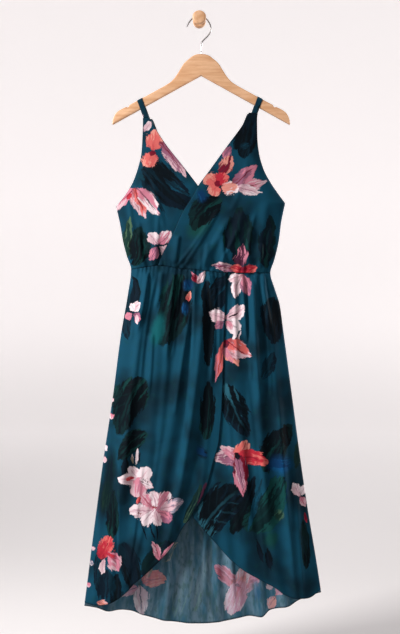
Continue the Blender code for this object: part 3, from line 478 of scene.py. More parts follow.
def armholePoint(side, drop):
    armhole = side + "Armhole"
    inHole, inSeam = downShare(drop)
    top, low = cut[armhole][0][0], cut[armhole][-1][0]
    waist = curveAt("waist", waistX[side])
    height = np.where(inSeam > 0, mix(low, waist + cloth["seamGap"], inSeam), mix(top, low, inHole))
    x = np.where(inSeam > 0, curveAt(side + "Side", height), curveAt(armhole, height))
    return x, height


def neckPoint(name, drop):
    bottom = curveAt("waist", cut[name][-1][1]) + cloth["seamGap"]
    height = mix(cut[name][0][0], bottom, drop)
    return curveAt(name, height), height


def bodicePlace(leftPoint, rightPoint, depth):
    bottomLeft = leftPoint(np.array([1.0]))
    bottomRight = rightPoint(np.array([1.0]))

    def place(share, drop):
        left = leftPoint(drop)
        right = rightPoint(drop)
        x = mix(left[0], right[0], share)
        height = mix(left[1], right[1], share)
        seamX = mix(bottomLeft[0], bottomRight[0], share)
        seamDrop = curveAt("waist", seamX) + cloth["seamGap"] - mix(bottomLeft[1], bottomRight[1], share)
        height = height + seamDrop * drop ** 2
        return x, depth(share, x, height), height
    return place


def bodiceUnderY(share, x, height):
    shown = ease((curveAt("overNeck", height) - x) / wrap["bodiceFade"])
    return mix(plainFrontY(x, height), frontY(x, height, "bodiceUnder", "bodice", 0.0), shown) - inset


def bodiceOverY(share, x, height):
    across = ease((1 - share) / wrap["bodiceLift"])
    down = ease((wrap["bodiceLiftTop"] - height) / wrap["bodiceLiftFade"])
    return frontY(x, height, "bodiceOver", "bodice", cloth["layerLift"] * across * down + inset)


def backPlace(share, drop):
    leftX, leftHeight = armholePoint("left", drop)
    rightX, rightHeight = armholePoint("right", drop)
    inHole, inSeam = downShare(drop)
    table = np.array(cut["backNeck"])
    neck = np.interp(share, table[:, 0], table[:, 1])
    underarm = mix(cut["leftArmhole"][-1][0], cut["rightArmhole"][-1][0], share)
    high = mix(neck, underarm, inHole)
    straight = mix(curveAt("waist", waistX["left"]), curveAt("waist", waistX["right"]), share)
    seamDrop = curveAt("waist", mix(waistX["left"], waistX["right"], share)) - straight
    low = mix(leftHeight, rightHeight, share) + seamDrop * inSeam
    height = np.where(inSeam > 0, low, high)
    x = np.where(inSeam > 0, mix(leftX, rightX, share), mix(leftEdge(high), rightEdge(high), share))
    return x, backY(x, height, "bodiceBack", "bodice") + inset, height


panels = {
    "skirt_front_over": (112, 210, skirtPlace(leftEdge, overTulip, "overHem", skirtOverY), -1),
    "skirt_front_under": (112, 210, skirtPlace(underTulip, rightEdge, "underHem", skirtUnderY), -1),
    "skirt_back": (170, 190, skirtPlace(leftEdge, rightEdge, "backHem", skirtBackY), 1),
    "bodice_front_under": (80, 110, bodicePlace(lambda d: armholePoint("left", d),
                                                lambda d: neckPoint("underNeck", d), bodiceUnderY), -1),
    "bodice_front_over": (96, 110, bodicePlace(lambda d: neckPoint("overNeck", d),
                                               lambda d: armholePoint("right", d), bodiceOverY), -1),
    "bodice_back": (130, 100, backPlace, 1),
}
sheets = {}
edges = {}
for nodeName, (columns, rows, place, outward) in panels.items():
    sheets[nodeName], edges[nodeName] = clothSheet(nodeName + "_cloth", columns, rows, place, outward)
print("cloth panels made")

straps = {
    "width": 0.0120,
    "columns": 8,
    "along": 78,
    "leftX": -0.1478,
    "rightX": 0.1508,
    # from the front shoulder over the wood to the back: y, above the wood, lean, slope across
    "rows": [(-0.0330, None, 0.33, 0.0), (-0.0330, -0.0330, 0.33, 0.3), (-0.0327, -0.0210, 0.33, 0.33),
             (-0.0326, -0.0070, 0.30, 0.42), (-0.0325, -0.0022, 0.0, 0.53), (-0.0316, -0.0002, 0.0, 0.53),
             (-0.0290, 0.0006, 0.0, 0.53), (-0.0230, 0.0006, 0.0, 0.53), (-0.0204, -0.0002, 0.0, 0.53),
             (-0.0195, -0.0022, 0.0, 0.53), (-0.0194, -0.0070, 0.34, 0.42), (-0.0192, -0.0210, 0.40, 0.40),
             (-0.0186, -0.0330, 0.40, 0.3), (-0.0182, None, 0.40, 0.0)],
}
hanger = {
    "centreX": 0.0047,
    "top": -0.0876,
    "y": -0.026,
    "thickness": 0.012,
    "edge": 0.003,
    "steps": 4,  # points that a stretch of the outline is rounded with
    # right half, (out, down) from the dome's top
    "topEdge": [(0.0, 0.0), (0.0120, 0.0014), (0.0215, 0.0052), (0.0290, 0.0112), (0.0380, 0.0185),
                (0.0456, 0.0268), (0.0530, 0.0390), (0.0610, 0.0520), (0.0700, 0.0635), (0.0820, 0.0740),
                (0.1141, 0.0922), (0.1463, 0.1098), (0.1786, 0.1270)],
    "tip": [(0.1805, 0.1310), (0.1830, 0.1330), (0.1855, 0.1318), (0.1940, 0.1352), (0.2050, 0.1412),
            (0.2128, 0.1482), (0.2185, 0.1590), (0.2210, 0.1690), (0.2210, 0.1745), (0.2190, 0.1752)],
    "underApex": (0.0, 0.0539),
}
hook = {
    "wire": 0.0017,
    "socket": 0.021,  # how far its straight end goes into the wood
    "steps": 5,
    "sides": 5,
    "route": [(-0.0303, -0.0190), (-0.0268, -0.0105), (-0.0195, -0.0012), (-0.0104, 0.0072), (0.0000, 0.0110),
              (0.0107, 0.0070), (0.0195, -0.0020), (0.0262, -0.0120), (0.0290, -0.0225), (0.0272, -0.0330),
              (0.0205, -0.0430), (0.0118, -0.0515), (0.0066, -0.0580), (0.0050, -0.0660), (0.0047, -0.0760),
              (0.0047, -0.0876)],
}
peg = {
    "sides": 72,
    # radius and distance from the wall, from the wall out
    "profile": [(0.0158, 0.0), (0.0160, 0.0006), (0.0160, 0.0174), (0.0156, 0.0180), (0.0128, 0.0184),
                (0.0105, 0.0189), (0.0093, 0.0197), (0.0090, 0.0207), (0.0090, 0.0315), (0.0094, 0.0326),
                (0.0108, 0.0334), (0.0138, 0.0341), (0.0155, 0.0346), (0.0165, 0.0356), (0.0171, 0.0370),
                (0.0172, 0.0390), (0.0172, 0.0410), (0.0169, 0.0420), (0.0162, 0.0433), (0.0152, 0.0441),
                (0.0140, 0.0446), (0.0120, 0.04495), (0.0060, 0.0450)],
}


def topOfWood(x):
    table = np.array(hanger["topEdge"])
    return hanger["top"] - np.interp(abs(x - hanger["centreX"]), table[:, 0], table[:, 1])


def strapPlace(topX, shoulder):
    side = 1.0 if topX > 0 else -1.0
    wood = topOfWood(topX)
    rows = np.array([[y, shoulder + cloth["seamGap"] - wood if above is None else above, lean, tilt]
                     for y, above, lean, tilt in straps["rows"]])
    along = np.arange(len(rows))

    def place(share, drop):
        at = drop * (len(rows) - 1)
        y, above, lean, tilt = (np.interp(at, along, rows[:, k]) for k in range(4))
        x = topX + side * lean * np.minimum(0.0, above)
        across = (share - 0.5) * straps["width"]
        return x + across, y, wood + above - side * tilt * across
    return place


for side in ("left", "right"):
    nodeName = "strap_" + side
    place = strapPlace(straps[side + "X"], cut[side + "Armhole"][0][0])
    sheets[nodeName], edges[nodeName] = clothSheet(nodeName + "_cloth", straps["columns"], straps["along"],
                                                   place, 1)


def smoothRoute(points, steps):  # points along a smooth curve through the given ones
    points = [np.array(p, dtype=float) for p in points]
    route = []
    for i in range(len(points) - 1):
        before, start = points[max(0, i - 1)], points[i]
        end, after = points[i + 1], points[min(len(points) - 1, i + 2)]
        for k in range(steps):
            t = k / steps
            route.append(0.5 * (2 * start + (end - before) * t
                                + (2 * before - 5 * start + 4 * end - after) * t * t
                                + (3 * start - before - 3 * end + after) * t ** 3))
    route.append(points[-1])
    return route


def tube(name, points, radius, sides):
    startFresh()
    bpy.ops.curve.primitive_nurbs_path_add(radius=0.01)
    line = bpy.context.object
    line.name = name
    curve = line.data
    curve.splines.clear()
    spline = curve.splines.new("POLY")
    spline.points.add(len(points) - 1)
    spline.points.foreach_set("co", np.array([[*p, 1.0] for p in points]).ravel())
    curve.bevel_depth = radius
    curve.bevel_resolution = sides
    curve.use_fill_caps = True
    bpy.ops.object.convert(target="MESH")
    tidyMesh(bpy.context.object, 0.00001)
    return bpy.context.object


def tidyMesh(piece, distance):
    startFresh()
    bpy.context.view_layer.objects.active = piece
    piece.select_set(True)
    bpy.ops.object.mode_set(mode="EDIT")
    bpy.ops.mesh.select_all(action="SELECT")
    bpy.ops.mesh.remove_doubles(threshold=distance)
    bpy.ops.mesh.normals_make_consistent(inside=False)
    bpy.ops.object.mode_set(mode="OBJECT")
    bpy.ops.object.transform_apply(location=True, rotation=True, scale=True)
    bpy.ops.object.shade_smooth_by_angle(angle=math.radians(40))


def makeHanger():
    curved, straight = hanger["topEdge"][:11], hanger["topEdge"][10:-1]
    topEdge = smoothRoute(curved, hanger["steps"])[:-1] + [np.array(p) for p in straight]
    tip = smoothRoute([hanger["topEdge"][-1], *hanger["tip"]], hanger["steps"])
    half = [*topEdge, *tip]
    points = [(p[0], -p[1]) for p in half] + [(0.0, -hanger["underApex"][1])]
    points += [(-p[0], -p[1]) for p in reversed(half[1:])]
    startFresh()
    bpy.ops.curve.primitive_bezier_circle_add(radius=0.1)
    outline = bpy.context.object
    outline.name = "hanger_body"
    curve = outline.data
    curve.dimensions = "2D"
    curve.fill_mode = "BOTH"
    curve.extrude = hanger["thickness"] / 2 - hanger["edge"]
    curve.bevel_depth = hanger["edge"]
    curve.bevel_resolution = 5
    curve.offset = -hanger["edge"]
    curve.splines.clear()
    spline = curve.splines.new("POLY")
    spline.points.add(len(points) - 1)
    spline.points.foreach_set("co", np.array([[x, z, 0.0, 1.0] for x, z in points]).ravel())
    spline.use_cyclic_u = True
    outline.rotation_euler = (math.radians(90), 0.0, 0.0)
    outline.location = (hanger["centreX"], hanger["y"], hanger["top"])
    bpy.ops.object.convert(target="MESH")
    tidyMesh(outline, 0.00002)
    return outline


def makePeg():
    startFresh()
    radius = peg["profile"][0][0]
    bpy.ops.mesh.primitive_circle_add(vertices=peg["sides"], radius=radius, fill_type="NGON",
                                      rotation=(math.radians(90), 0.0, 0.0))
    piece = bpy.context.object
    piece.name = "peg_turned"
    bpy.ops.object.transform_apply(location=True, rotation=True, scale=True)
    bpy.ops.object.mode_set(mode="EDIT")
    bpy.ops.mesh.select_all(action="SELECT")
    for (r0, out0), (r1, out1) in zip(peg["profile"], peg["profile"][1:]):
        bpy.ops.mesh.extrude_region_move(TRANSFORM_OT_translate={"value": (0.0, out0 - out1, 0.0)})
        bpy.ops.transform.resize(value=(r1 / r0, 1.0, r1 / r0))
    bpy.ops.object.mode_set(mode="OBJECT")
    tidyMesh(piece, 0.00001)
    return piece


hangerBody = makeHanger()
wire = smoothRoute(hook["route"], hook["steps"])
wire.append(np.array((hanger["centreX"], hanger["top"] - hook["socket"])))
hookWire = tube("hook_wire", [(x, hanger["y"], z) for x, z in wire], hook["wire"], hook["sides"])
pegTurned = makePeg()
print("hanger, hook and peg made")


def linear(red, green, blue):  # a colour as it is seen, 0 to 255, as light
    shares = [c / 255 for c in (red, green, blue)]
    return tuple(c / 12.92 if c < 0.0404 else ((c + 0.055) / 1.055) ** 2.4 for c in shares)


ink = {
    "teal": linear(12, 60, 80),
    "tealLit": linear(44, 100, 118),
    "tealDeep": linear(8, 34, 46),
    "navy": linear(6, 18, 29),
    "night": linear(3, 8, 13),
    "green": linear(6, 28, 30),
    "greenLit": linear(14, 58, 56),
    "olive": linear(18, 40, 34),
    "oliveLit": linear(64, 90, 68),
    "sand": linear(128, 116, 94),
    "blue": linear(7, 44, 80),
    "blueLit": linear(9, 64, 104),
    "turquoise": linear(12, 78, 84),
    "grey": linear(112, 112, 128),
    "white": linear(210, 194, 199),
    "blush": linear(192, 160, 168),
    "pink": linear(182, 112, 130),
    "coral": linear(194, 92, 88),
    "salmon": linear(202, 132, 120),
    "red": linear(166, 38, 52),
    "crimson": linear(104, 16, 36),
    "mauve": linear(134, 84, 106),
    "plum": linear(66, 30, 50),
}
# How a brush shape is drawn: where it is widest, bluntness, its middle line (1 and more has side veins too),
# softness, raggedness.
brushes = {
    "leaf": (0.85, 0.66, 1.26, 0.04, 0),
    "blade": (1.00, 0.35, 1.20, 0.03, 0),
    "petal": (1.12, 0.84, 0.55, 0.02, 0),
    "cup": (0.92, 0.46, 0.60, 0.02, 0),
    "spear": (0.86, 1.05, 0.90, 0.02, 0),
    "frill": (1.10, 0.45, 0.25, 0.03, 1),
    "dot": (1.00, 0.50, 0.10, 0.10, 0),
    "stroke": (1.00, 0.45, 0.00, 0.05, 0),
    "wash": (1.00, 0.55, 0.00, 0.60, 0),
}
# Shapes in painting order, placed over the photo and measured in its pixels: brush, x and y of the
# base, of the tip, half width, bend, then the inks of the body, the edges and tip, and the lines.
drawn = {
    "bodice_front_under": [
        ("leaf", 144, 161, 190, 212, 17, 0.1, "night", "navy", "tealDeep"),
        ("spear", 145, 182, 168, 220, 3.6, 0.1, "tealDeep", "teal", "navy"),
        ("spear", 162, 177, 190, 197, 3.4, 0.1, "tealDeep", "teal", "navy"),
        ("leaf", 124, 262, 130, 216, 6, 0.1, "olive", "oliveLit", "greenLit"),
        ("leaf", 134, 266, 141, 226, 12, 0.1, "night", "green", "greenLit"),
        ("leaf", 150, 262, 176, 240, 9, 0, "tealDeep", "green", "teal"),
        ("petal", 144, 131, 151, 120, 3.5, 0, "blush", "white", "mauve"),
        ("frill", 153, 150, 157, 129, 9, 0, "coral", "salmon", "red"),
        ("frill", 152, 152, 147, 167, 9, 0, "coral", "salmon", "red"),
        ("dot", 152, 150, 152, 156, 3.5, 0, "crimson", "crimson", "crimson"),
        ("spear", 160, 141, 187, 177, 7, -0.1, "mauve", "blush", "crimson"),
        ("spear", 134, 187, 116, 208, 7, 0.1, "pink", "blush", "crimson"),
        ("spear", 134, 187, 145, 218, 8, 0, "coral", "blush", "crimson"),
        ("spear", 136, 186, 161, 217, 7, -0.1, "pink", "white", "plum"),
        ("dot", 131, 193, 127, 199, 3, 0, "red", "crimson", "red"),
        ("petal", 158, 245, 149, 232, 6, 0, "blush", "white", "mauve"),
        ("petal", 159, 245, 171, 231, 7, 0, "pink", "white", "plum"),
        ("petal", 158, 247, 149, 260, 6, 0, "mauve", "pink", "plum"),
        ("petal", 159, 246, 177, 258, 6, 0, "blush", "white", "mauve"),
    ],
    "bodice_front_over": [
        ("wash", 214, 212, 184, 240, 12, 0, "greenLit", "greenLit", "green"),
        ("leaf", 219, 196, 190, 228, 14, 0.15, "night", "green", "greenLit"),
        ("leaf", 240, 264, 239, 206, 16, -0.1, "navy", "green", "greenLit"),
        ("leaf", 267, 268, 271, 214, 10, 0.1, "navy", "green", "greenLit"),
        ("leaf", 242, 158, 254, 104, 13, 0, "night", "navy", "tealDeep"),
        ("wash", 239, 148, 250, 143, 4, 0, "tealDeep", "teal", "navy"),
        ("leaf", 283, 190, 288, 150, 8, 0.1, "tealDeep", "green", "teal"),
        ("wash", 200, 187, 203, 204, 7, 0, "blue", "blueLit", "blue"),
        ("petal", 231, 146, 223, 158, 5, 0, "mauve", "pink", "plum"),
        ("petal", 219, 175, 233, 156, 7.5, 0.1, "crimson", "salmon", "plum"),
        ("spear", 233, 188, 268, 181, 7, 0.15, "pink", "blush", "crimson"),
        ("spear", 232, 187, 257, 165, 8, -0.1, "mauve", "pink", "crimson"),
        ("spear", 236, 187, 262, 193, 5, 0, "blush", "white", "mauve"),
        ("frill", 217, 184, 205, 176, 7, 0, "coral", "salmon", "red"),
        ("frill", 217, 184, 227, 174, 7, 0, "red", "coral", "crimson"),
        ("frill", 217, 185, 211, 195, 7, 0, "coral", "salmon", "red"),
        ("frill", 221, 189, 239, 187, 6.5, 0, "salmon", "white", "coral"),
        ("dot", 215, 182, 219, 186, 3, 0, "crimson", "crimson", "crimson"),
        ("spear", 240, 269, 244, 243, 7, 0.1, "plum", "pink", "plum"),
        ("spear", 238, 270, 211, 264, 4.5, 0.1, "mauve", "blush", "crimson"),
        ("petal", 246, 271, 230, 267, 4.5, 0, "red", "coral", "crimson"),
        ("petal", 242, 272, 258, 267, 4.5, 0, "red", "coral", "crimson"),
        ("dot", 240, 268, 247, 269, 2.4, 0, "crimson", "crimson", "crimson"),
    ],
    "skirt_front_over": [
        ("leaf", 183, 274, 163, 347, 19, -0.08, "night", "green", "greenLit"),
        ("leaf", 232, 273, 208, 317, 13, 0.1, "navy", "night", "teal"),
        ("blade", 207, 280, 208, 366, 7, 0, "night", "night", "navy"),
        ("leaf", 131, 318, 131, 275, 6, 0, "navy", "night", "tealDeep"),
        ("wash", 163, 308, 152, 352, 9, 0, "turquoise", "turquoise", "teal"),
        ("leaf", 142, 376, 116, 435, 19, 0.12, "night", "green", "greenLit"),
        ("leaf", 146, 430, 117, 459, 10, 0.1, "night", "green", "greenLit"),
        ("leaf", 207, 440, 209, 380, 11, 0.1, "night", "night", "greenLit"),
        ("leaf", 113, 538, 114, 488, 8, 0.1, "night", "green", "greenLit"),
        ("wash", 194, 447, 209, 457, 7, 0, "blue", "navy", "blueLit"),
        ("leaf", 185, 523, 202, 484, 11, 0.2, "green", "olive", "oliveLit"),
        ("leaf", 199, 522, 206, 482, 8, 0, "navy", "plum", "tealDeep"),
        ("leaf", 124, 540, 141, 597, 13, -0.15, "navy", "night", "tealDeep"),
        ("leaf", 176, 542, 140, 573, 14, 0.1, "navy", "green", "tealDeep"),
        ("leaf", 113, 607, 118, 572, 10, 0, "night", "navy", "green"),
        ("leaf", 105, 606, 107, 568, 11, 0, "navy", "tealDeep", "teal"),
        ("wash", 101, 540, 112, 430, 11, 0, "navy", "green", "tealDeep"),
        ("leaf", 101, 545, 96, 590, 6, 0.1, "tealDeep", "navy", "teal"),
        ("wash", 110, 470, 103, 520, 6, 0, "green", "olive", "greenLit"),
        ("leaf", 125, 478, 127, 455, 4, 0, "navy", "night", "navy"),
        ("leaf", 122, 300, 128, 340, 6, 0, "tealDeep", "navy", "teal"),
        ("petal", 132, 314, 124, 318, 4, 0, "pink", "pink", "mauve"),
        ("petal", 131, 311, 141, 303, 6, 0, "blush", "white", "mauve"),
        ("petal", 134, 314, 140, 321, 5, 0, "mauve", "pink", "plum"),
        ("spear", 136, 315, 138, 325, 3, 0, "blush", "white", "mauve"),
        ("petal", 134, 312, 130, 303, 4, 0, "white", "white", "mauve"),
        ("wash", 187, 277, 189, 293, 7, 0, "blue", "blueLit", "blue"),
        ("wash", 185, 300, 185, 317, 5, 0, "blue", "blueLit", "blue"),
        ("spear", 197, 283, 191, 271, 3, 0, "crimson", "pink", "crimson"),
        ("spear", 197, 284, 205, 270, 3.6, 0, "blush", "white", "crimson"),
        ("spear", 188, 302, 190, 291, 3, 0, "coral", "salmon", "crimson"),
        ("petal", 226, 320, 209, 312, 7, 0, "blush", "white", "mauve"),
        ("petal", 224, 321, 215, 328, 5, 0, "mauve", "pink", "plum"),
        ("spear", 225, 341, 216, 382, 6, -0.1, "coral", "pink", "crimson"),
        ("dot", 111, 398, 111, 403, 3, 0, "blush", "white", "pink"),
        ("dot", 111, 414, 111, 420, 3.5, 0, "pink", "white", "coral"),
        ("dot", 104, 458, 104, 464, 3.5, 0, "blush", "white", "pink"),
        ("dot", 106, 446, 105, 451, 2.4, 0, "white", "white", "pink"),
        ("stroke", 133, 463, 132, 454, 1.3, 0, "sand", "white", "sand"),
        ("stroke", 136, 465, 138, 448, 1.5, 0.2, "white", "white", "sand"),
        ("stroke", 139, 464, 140, 452, 1, 0, "night", "navy", "night"),
        ("cup", 142, 484, 129, 466, 8, 0, "blush", "white", "mauve"),
        ("cup", 138, 483, 150, 467, 8.5, 0, "white", "white", "pink"),
        ("petal", 144, 482, 118, 477, 6, 0.1, "blush", "white", "mauve"),
        ("cup", 141, 477, 137, 497, 10, 0, "pink", "blush", "mauve"),
        ("petal", 138, 479, 154, 487, 5, 0, "white", "blush", "plum"),
        ("stroke", 134, 477, 126, 479, 2, 0, "red", "coral", "crimson"),
        ("stroke", 141, 478, 152, 484, 1.2, 0, "plum", "night", "plum"),
        ("cup", 158, 510, 139, 493, 8, 0, "pink", "blush", "crimson"),
        ("cup", 157, 512, 152, 490, 9, 0.1, "white", "blush", "mauve"),
        ("cup", 154, 512, 170, 491, 9, 0, "pink", "white", "mauve"),
        ("petal", 152, 510, 184, 501, 8.5, 0.1, "blush", "grey", "mauve"),
        ("cup", 158, 509, 129, 510, 8, 0, "blush", "white", "mauve"),
        ("cup", 156, 507, 142, 523, 8.5, 0, "white", "white", "mauve"),
        ("cup", 154, 508, 172, 518, 7.5, 0, "pink", "mauve", "plum"),
        ("cup", 155, 508, 160, 524, 7, 0, "blush", "white", "mauve"),
        ("stroke", 148, 503, 161, 508, 2.2, 0, "crimson", "red", "crimson"),
        ("stroke", 135, 511, 146, 514, 1.8, 0, "crimson", "red", "crimson"),
        ("stroke", 142, 495, 137, 503, 2.4, 0, "red", "coral", "red"),
        ("stroke", 160, 500, 176, 498, 0.8, 0, "plum", "mauve", "plum"),
        ("stroke", 140, 519, 148, 538, 1, 0, "navy", "night", "navy"),
        ("stroke", 149, 521, 155, 538, 1, 0, "navy", "night", "navy"),
        ("stroke", 157, 522, 158, 538, 1, 0, "navy", "night", "navy"),
        ("spear", 161, 560, 152, 539, 5, 0.1, "pink", "blush", "crimson"),
        ("spear", 160, 558, 175, 540, 3.2, -0.1, "pink", "blush", "plum"),
        ("frill", 99, 559, 112, 536, 7.5, 0, "red", "coral", "crimson"),
        ("stroke", 104, 551, 108, 542, 1.2, 0, "red", "crimson", "red"),
        ("petal", 108, 551, 120, 570, 9, -0.1, "pink", "blush", "plum"),
        ("petal", 104, 559, 101, 575, 3.5, 0, "blush", "white", "mauve"),
        ("stroke", 106, 553, 119, 558, 2.2, 0, "red", "mauve", "crimson"),
        ("petal", 97, 602, 109, 605, 4, 0, "salmon", "blush", "crimson"),
        ("dot", 93, 547, 93, 552, 3, 0, "blush", "grey", "pink"),
        ("dot", 91, 562, 91, 567, 2.8, 0, "grey", "white", "blush"),
        ("dot", 88, 584, 88, 589, 3, 0, "pink", "blush", "red"),
    ],
    "skirt_front_under": [
        ("leaf", 273, 296, 274, 345, 13, 0.05, "night", "navy", "tealDeep"),
        ("leaf", 262, 470, 291, 424, 16, -0.1, "night", "green", "greenLit"),
        ("leaf", 288, 446, 284, 424, 8, 0, "night", "green", "navy"),
        ("leaf", 224, 384, 248, 437, 14, 0.12, "night", "navy", "tealLit"),
        ("wash", 262, 462, 297, 466, 12, 0, "blue", "blueLit", "blue"),
        ("wash", 270, 472, 288, 500, 11, 0, "blue", "teal", "blue"),
        ("leaf", 232, 534, 256, 476, 11, 0.1, "night", "navy", "green"),
        ("leaf", 198, 530, 246, 484, 21, -0.05, "night", "navy", "tealLit"),
        ("leaf", 247, 532, 287, 478, 18, 0.2, "green", "greenLit", "greenLit"),
        ("wash", 274, 520, 284, 510, 6, 0, "olive", "oliveLit", "olive"),
        ("spear", 248, 531, 262, 477, 4, 0.1, "teal", "tealDeep", "teal"),
        ("wash", 262, 536, 280, 540, 12, 0, "greenLit", "greenLit", "green"),
        ("spear", 263, 562, 256, 538, 2.6, 0, "navy", "night", "navy"),
        ("spear", 271, 570, 266, 546, 3.6, 0, "navy", "night", "navy"),
        ("leaf", 296, 345, 292, 300, 8, 0.1, "tealDeep", "green", "teal"),
        ("leaf", 262, 380, 275, 352, 7, 0.1, "tealDeep", "navy", "teal"),
        ("leaf", 307, 570, 303, 520, 6, 0, "night", "green", "greenLit"),
        ("wash", 300, 520, 306, 560, 7, 0, "green", "tealDeep", "green"),
        ("leaf", 300, 440, 296, 470, 5, 0, "green", "olive", "greenLit"),
        ("petal", 242, 274, 234, 298, 6.5, 0.1, "blush", "white", "plum"),
        ("petal", 243, 274, 250, 296, 6.5, 0, "pink", "mauve", "plum"),
        ("petal", 243, 275, 228, 280, 5, 0, "blush", "white", "crimson"),
        ("petal", 225, 320, 245, 306, 7.5, 0.1, "blush", "white", "mauve"),
        ("petal", 225, 321, 241, 330, 8, 0, "white", "white", "plum"),
        ("petal", 226, 320, 233, 330, 4, 0, "pink", "blush", "crimson"),
        ("stroke", 228, 318, 238, 313, 0.8, 0, "night", "plum", "night"),
        ("stroke", 231, 346, 238, 327, 1.8, 0, "white", "white", "blush"),
        ("stroke", 236, 346, 241, 331, 1.2, 0, "blush", "white", "blush"),
        ("spear", 226, 342, 238, 366, 9, 0, "pink", "salmon", "crimson"),
        ("spear", 226, 341, 252, 357, 9, 0.1, "coral", "blush", "crimson"),
        ("dot", 224, 340, 228, 347, 3.6, 0, "crimson", "plum", "crimson"),
        ("cup", 245, 459, 215, 456, 9, 0.1, "mauve", "blush", "plum"),
        ("petal", 244, 460, 220, 446, 6, 0, "pink", "blush", "mauve"),
        ("cup", 236, 460, 247, 440, 7.5, 0, "coral", "salmon", "crimson"),
        ("cup", 234, 455, 268, 461, 8.5, -0.1, "red", "coral", "crimson"),
        ("spear", 238, 451, 243, 496, 9, 0, "crimson", "pink", "plum"),
        ("spear", 236, 452, 244, 492, 5, 0, "mauve", "blush", "plum"),
        ("dot", 235, 452, 240, 459, 2.6, 0, "night", "navy", "night"),
        ("petal", 300, 497, 293, 483, 5, 0, "blush", "white", "mauve"),
        ("petal", 300, 495, 307, 487, 5, 0, "white", "white", "plum"),
        ("petal", 300, 496, 306, 508, 4.5, 0, "pink", "blush", "crimson"),
        ("stroke", 305, 513, 307, 524, 1.6, 0, "crimson", "red", "crimson"),
    ],
    "skirt_back": [
        ("leaf", 196, 612, 211, 536, 8, 0.2, "navy", "green", "oliveLit"),
        ("leaf", 214, 618, 203, 566, 7, -0.2, "night", "green", "olive"),
        ("leaf", 176, 618, 190, 540, 9, 0.1, "tealDeep", "green", "oliveLit"),
        ("leaf", 160, 560, 178, 542, 6, 0, "olive", "sand", "oliveLit"),
        ("cup", 244, 588, 214, 565, 8, -0.1, "red", "pink", "crimson"),
        ("cup", 236, 588, 259, 578, 9, 0, "red", "pink", "crimson"),
        ("cup", 240, 588, 247, 565, 8, 0, "coral", "blush", "crimson"),
        ("cup", 242, 580, 229, 614, 11, 0, "pink", "blush", "red"),
        ("dot", 236, 583, 241, 587, 2.2, 0, "crimson", "red", "crimson"),
        ("wash", 256, 576, 257, 607, 8, 0, "blue", "navy", "blueLit"),
        ("petal", 276, 596, 283, 583, 5, 0, "pink", "blush", "red"),
        ("petal", 276, 596, 268, 609, 6, 0, "salmon", "blush", "crimson"),
        ("petal", 272, 590, 267, 582, 4, 0, "blush", "white", "mauve"),
        ("spear", 139, 586, 119, 595, 6, 0.1, "pink", "blush", "plum"),
        ("petal", 141, 580, 167, 578, 9, 0, "coral", "salmon", "crimson"),
        ("spear", 140, 584, 143, 617, 8, 0, "blush", "white", "plum"),
        ("petal", 142, 581, 150, 562, 6, 0, "salmon", "sand", "red"),
        ("dot", 138, 581, 141, 585, 2.2, 0, "olive", "navy", "olive"),
    ],
}
# the photo's middle, where that lies on the dress, and the metres of a pixel at the dress's front and back
photo = {"middleX": 200, "middleY": 317, "x": 0.0017, "height": -0.7417, "front": 0.00247, "back": 0.00250}


def onDress(pixelX, pixelY, metres):
    x = photo["x"] + (pixelX - photo["middleX"]) * metres
    height = photo["height"] - (pixelY - photo["middleY"]) * metres
    return round(x, 3), round(height, 3)


# The same shapes on the dress itself: brush, x and height of the base, of the tip, half width, and the rest.
prints = {}
for name, rows in drawn.items():
    metres = photo["back" if name == "skirt_back" else "front"]
    prints[name] = []
    for brush, baseX, baseY, tipX, tipY, half, *rest in rows:
        base = onDress(baseX, baseY, metres)
        tip = onDress(tipX, tipY, metres)
        prints[name].append((brush, *base, *tip, round(half * photo["front"], 4), *rest))
printLayers = 7
# The back has the same cloth seen further along. A panel's shapes are turned round about (x, height) / 2 and
# stay clear of the shapes that show inside the front's opening.
backTurns = {"skirt_front_over": (-0.1, -2.13), "skirt_front_under": (0.15, -2.04)}
backShifts = {"bodice_front_under": 0.02, "bodice_front_over": 0.01}
backLimits = {"insideTop": -1.27, "insideHalf": 0.19, "dotsLow": -1.25, "dotsHigh": -1.0, "bodiceDrop": 0.02}


def backPrint():
    rows = []
    for name, (turnX, turnHeight) in backTurns.items():
        for brush, x0, z0, x1, z1, half, bend, *inks in prints[name]:
            base, tip = turnHeight - z0, turnHeight - z1
            strayDot = brush == "dot" and backLimits["dotsLow"] < base < backLimits["dotsHigh"]
            clear = base > backLimits["insideTop"] or abs(turnX - x0) > backLimits["insideHalf"]
            if clear and not strayDot and inks[0] != "white":
                rows.append((brush, turnX - x0, base, turnX - x1, tip, half, bend, *inks))
    return rows + prints["skirt_back"]


def bodiceBackPrint():
    rows = []
    down = backLimits["bodiceDrop"]
    for name, shift in backShifts.items():
        for brush, x0, z0, x1, z1, half, bend, *inks in prints[name]:
            rows.append((brush, shift - x0, z0 - down, shift - x1, z1 - down, half, -bend, *inks))
    return rows


prints["skirt_back"] = backPrint()
prints["bodice_back"] = bodiceBackPrint()
prints["strap_left"] = [("leaf", -0.149, -0.262, -0.148, -0.236, 0.006, 0.0, "navy", "tealDeep", "teal"),
                        ("petal", -0.145, -0.252, -0.141, -0.240, 0.005, 0.0, "pink", "blush", "red")]
prints["strap_right"] = [("leaf", 0.147, -0.240, 0.150, -0.216, 0.006, 0.0, "navy", "green", "teal")]


# stands far off the cloth, for a layer with no shapes
emptyShape = {"middle": np.array([9.0, 9.0]), "upward": np.array([0.0, 1.0]),
              "sideways": np.array([1.0, 0.0]), "size": (0.01, 0.01), "bend": 0.0, "brush": brushes["dot"],
              "inks": ["teal"] * 3, "seed": 0.0}


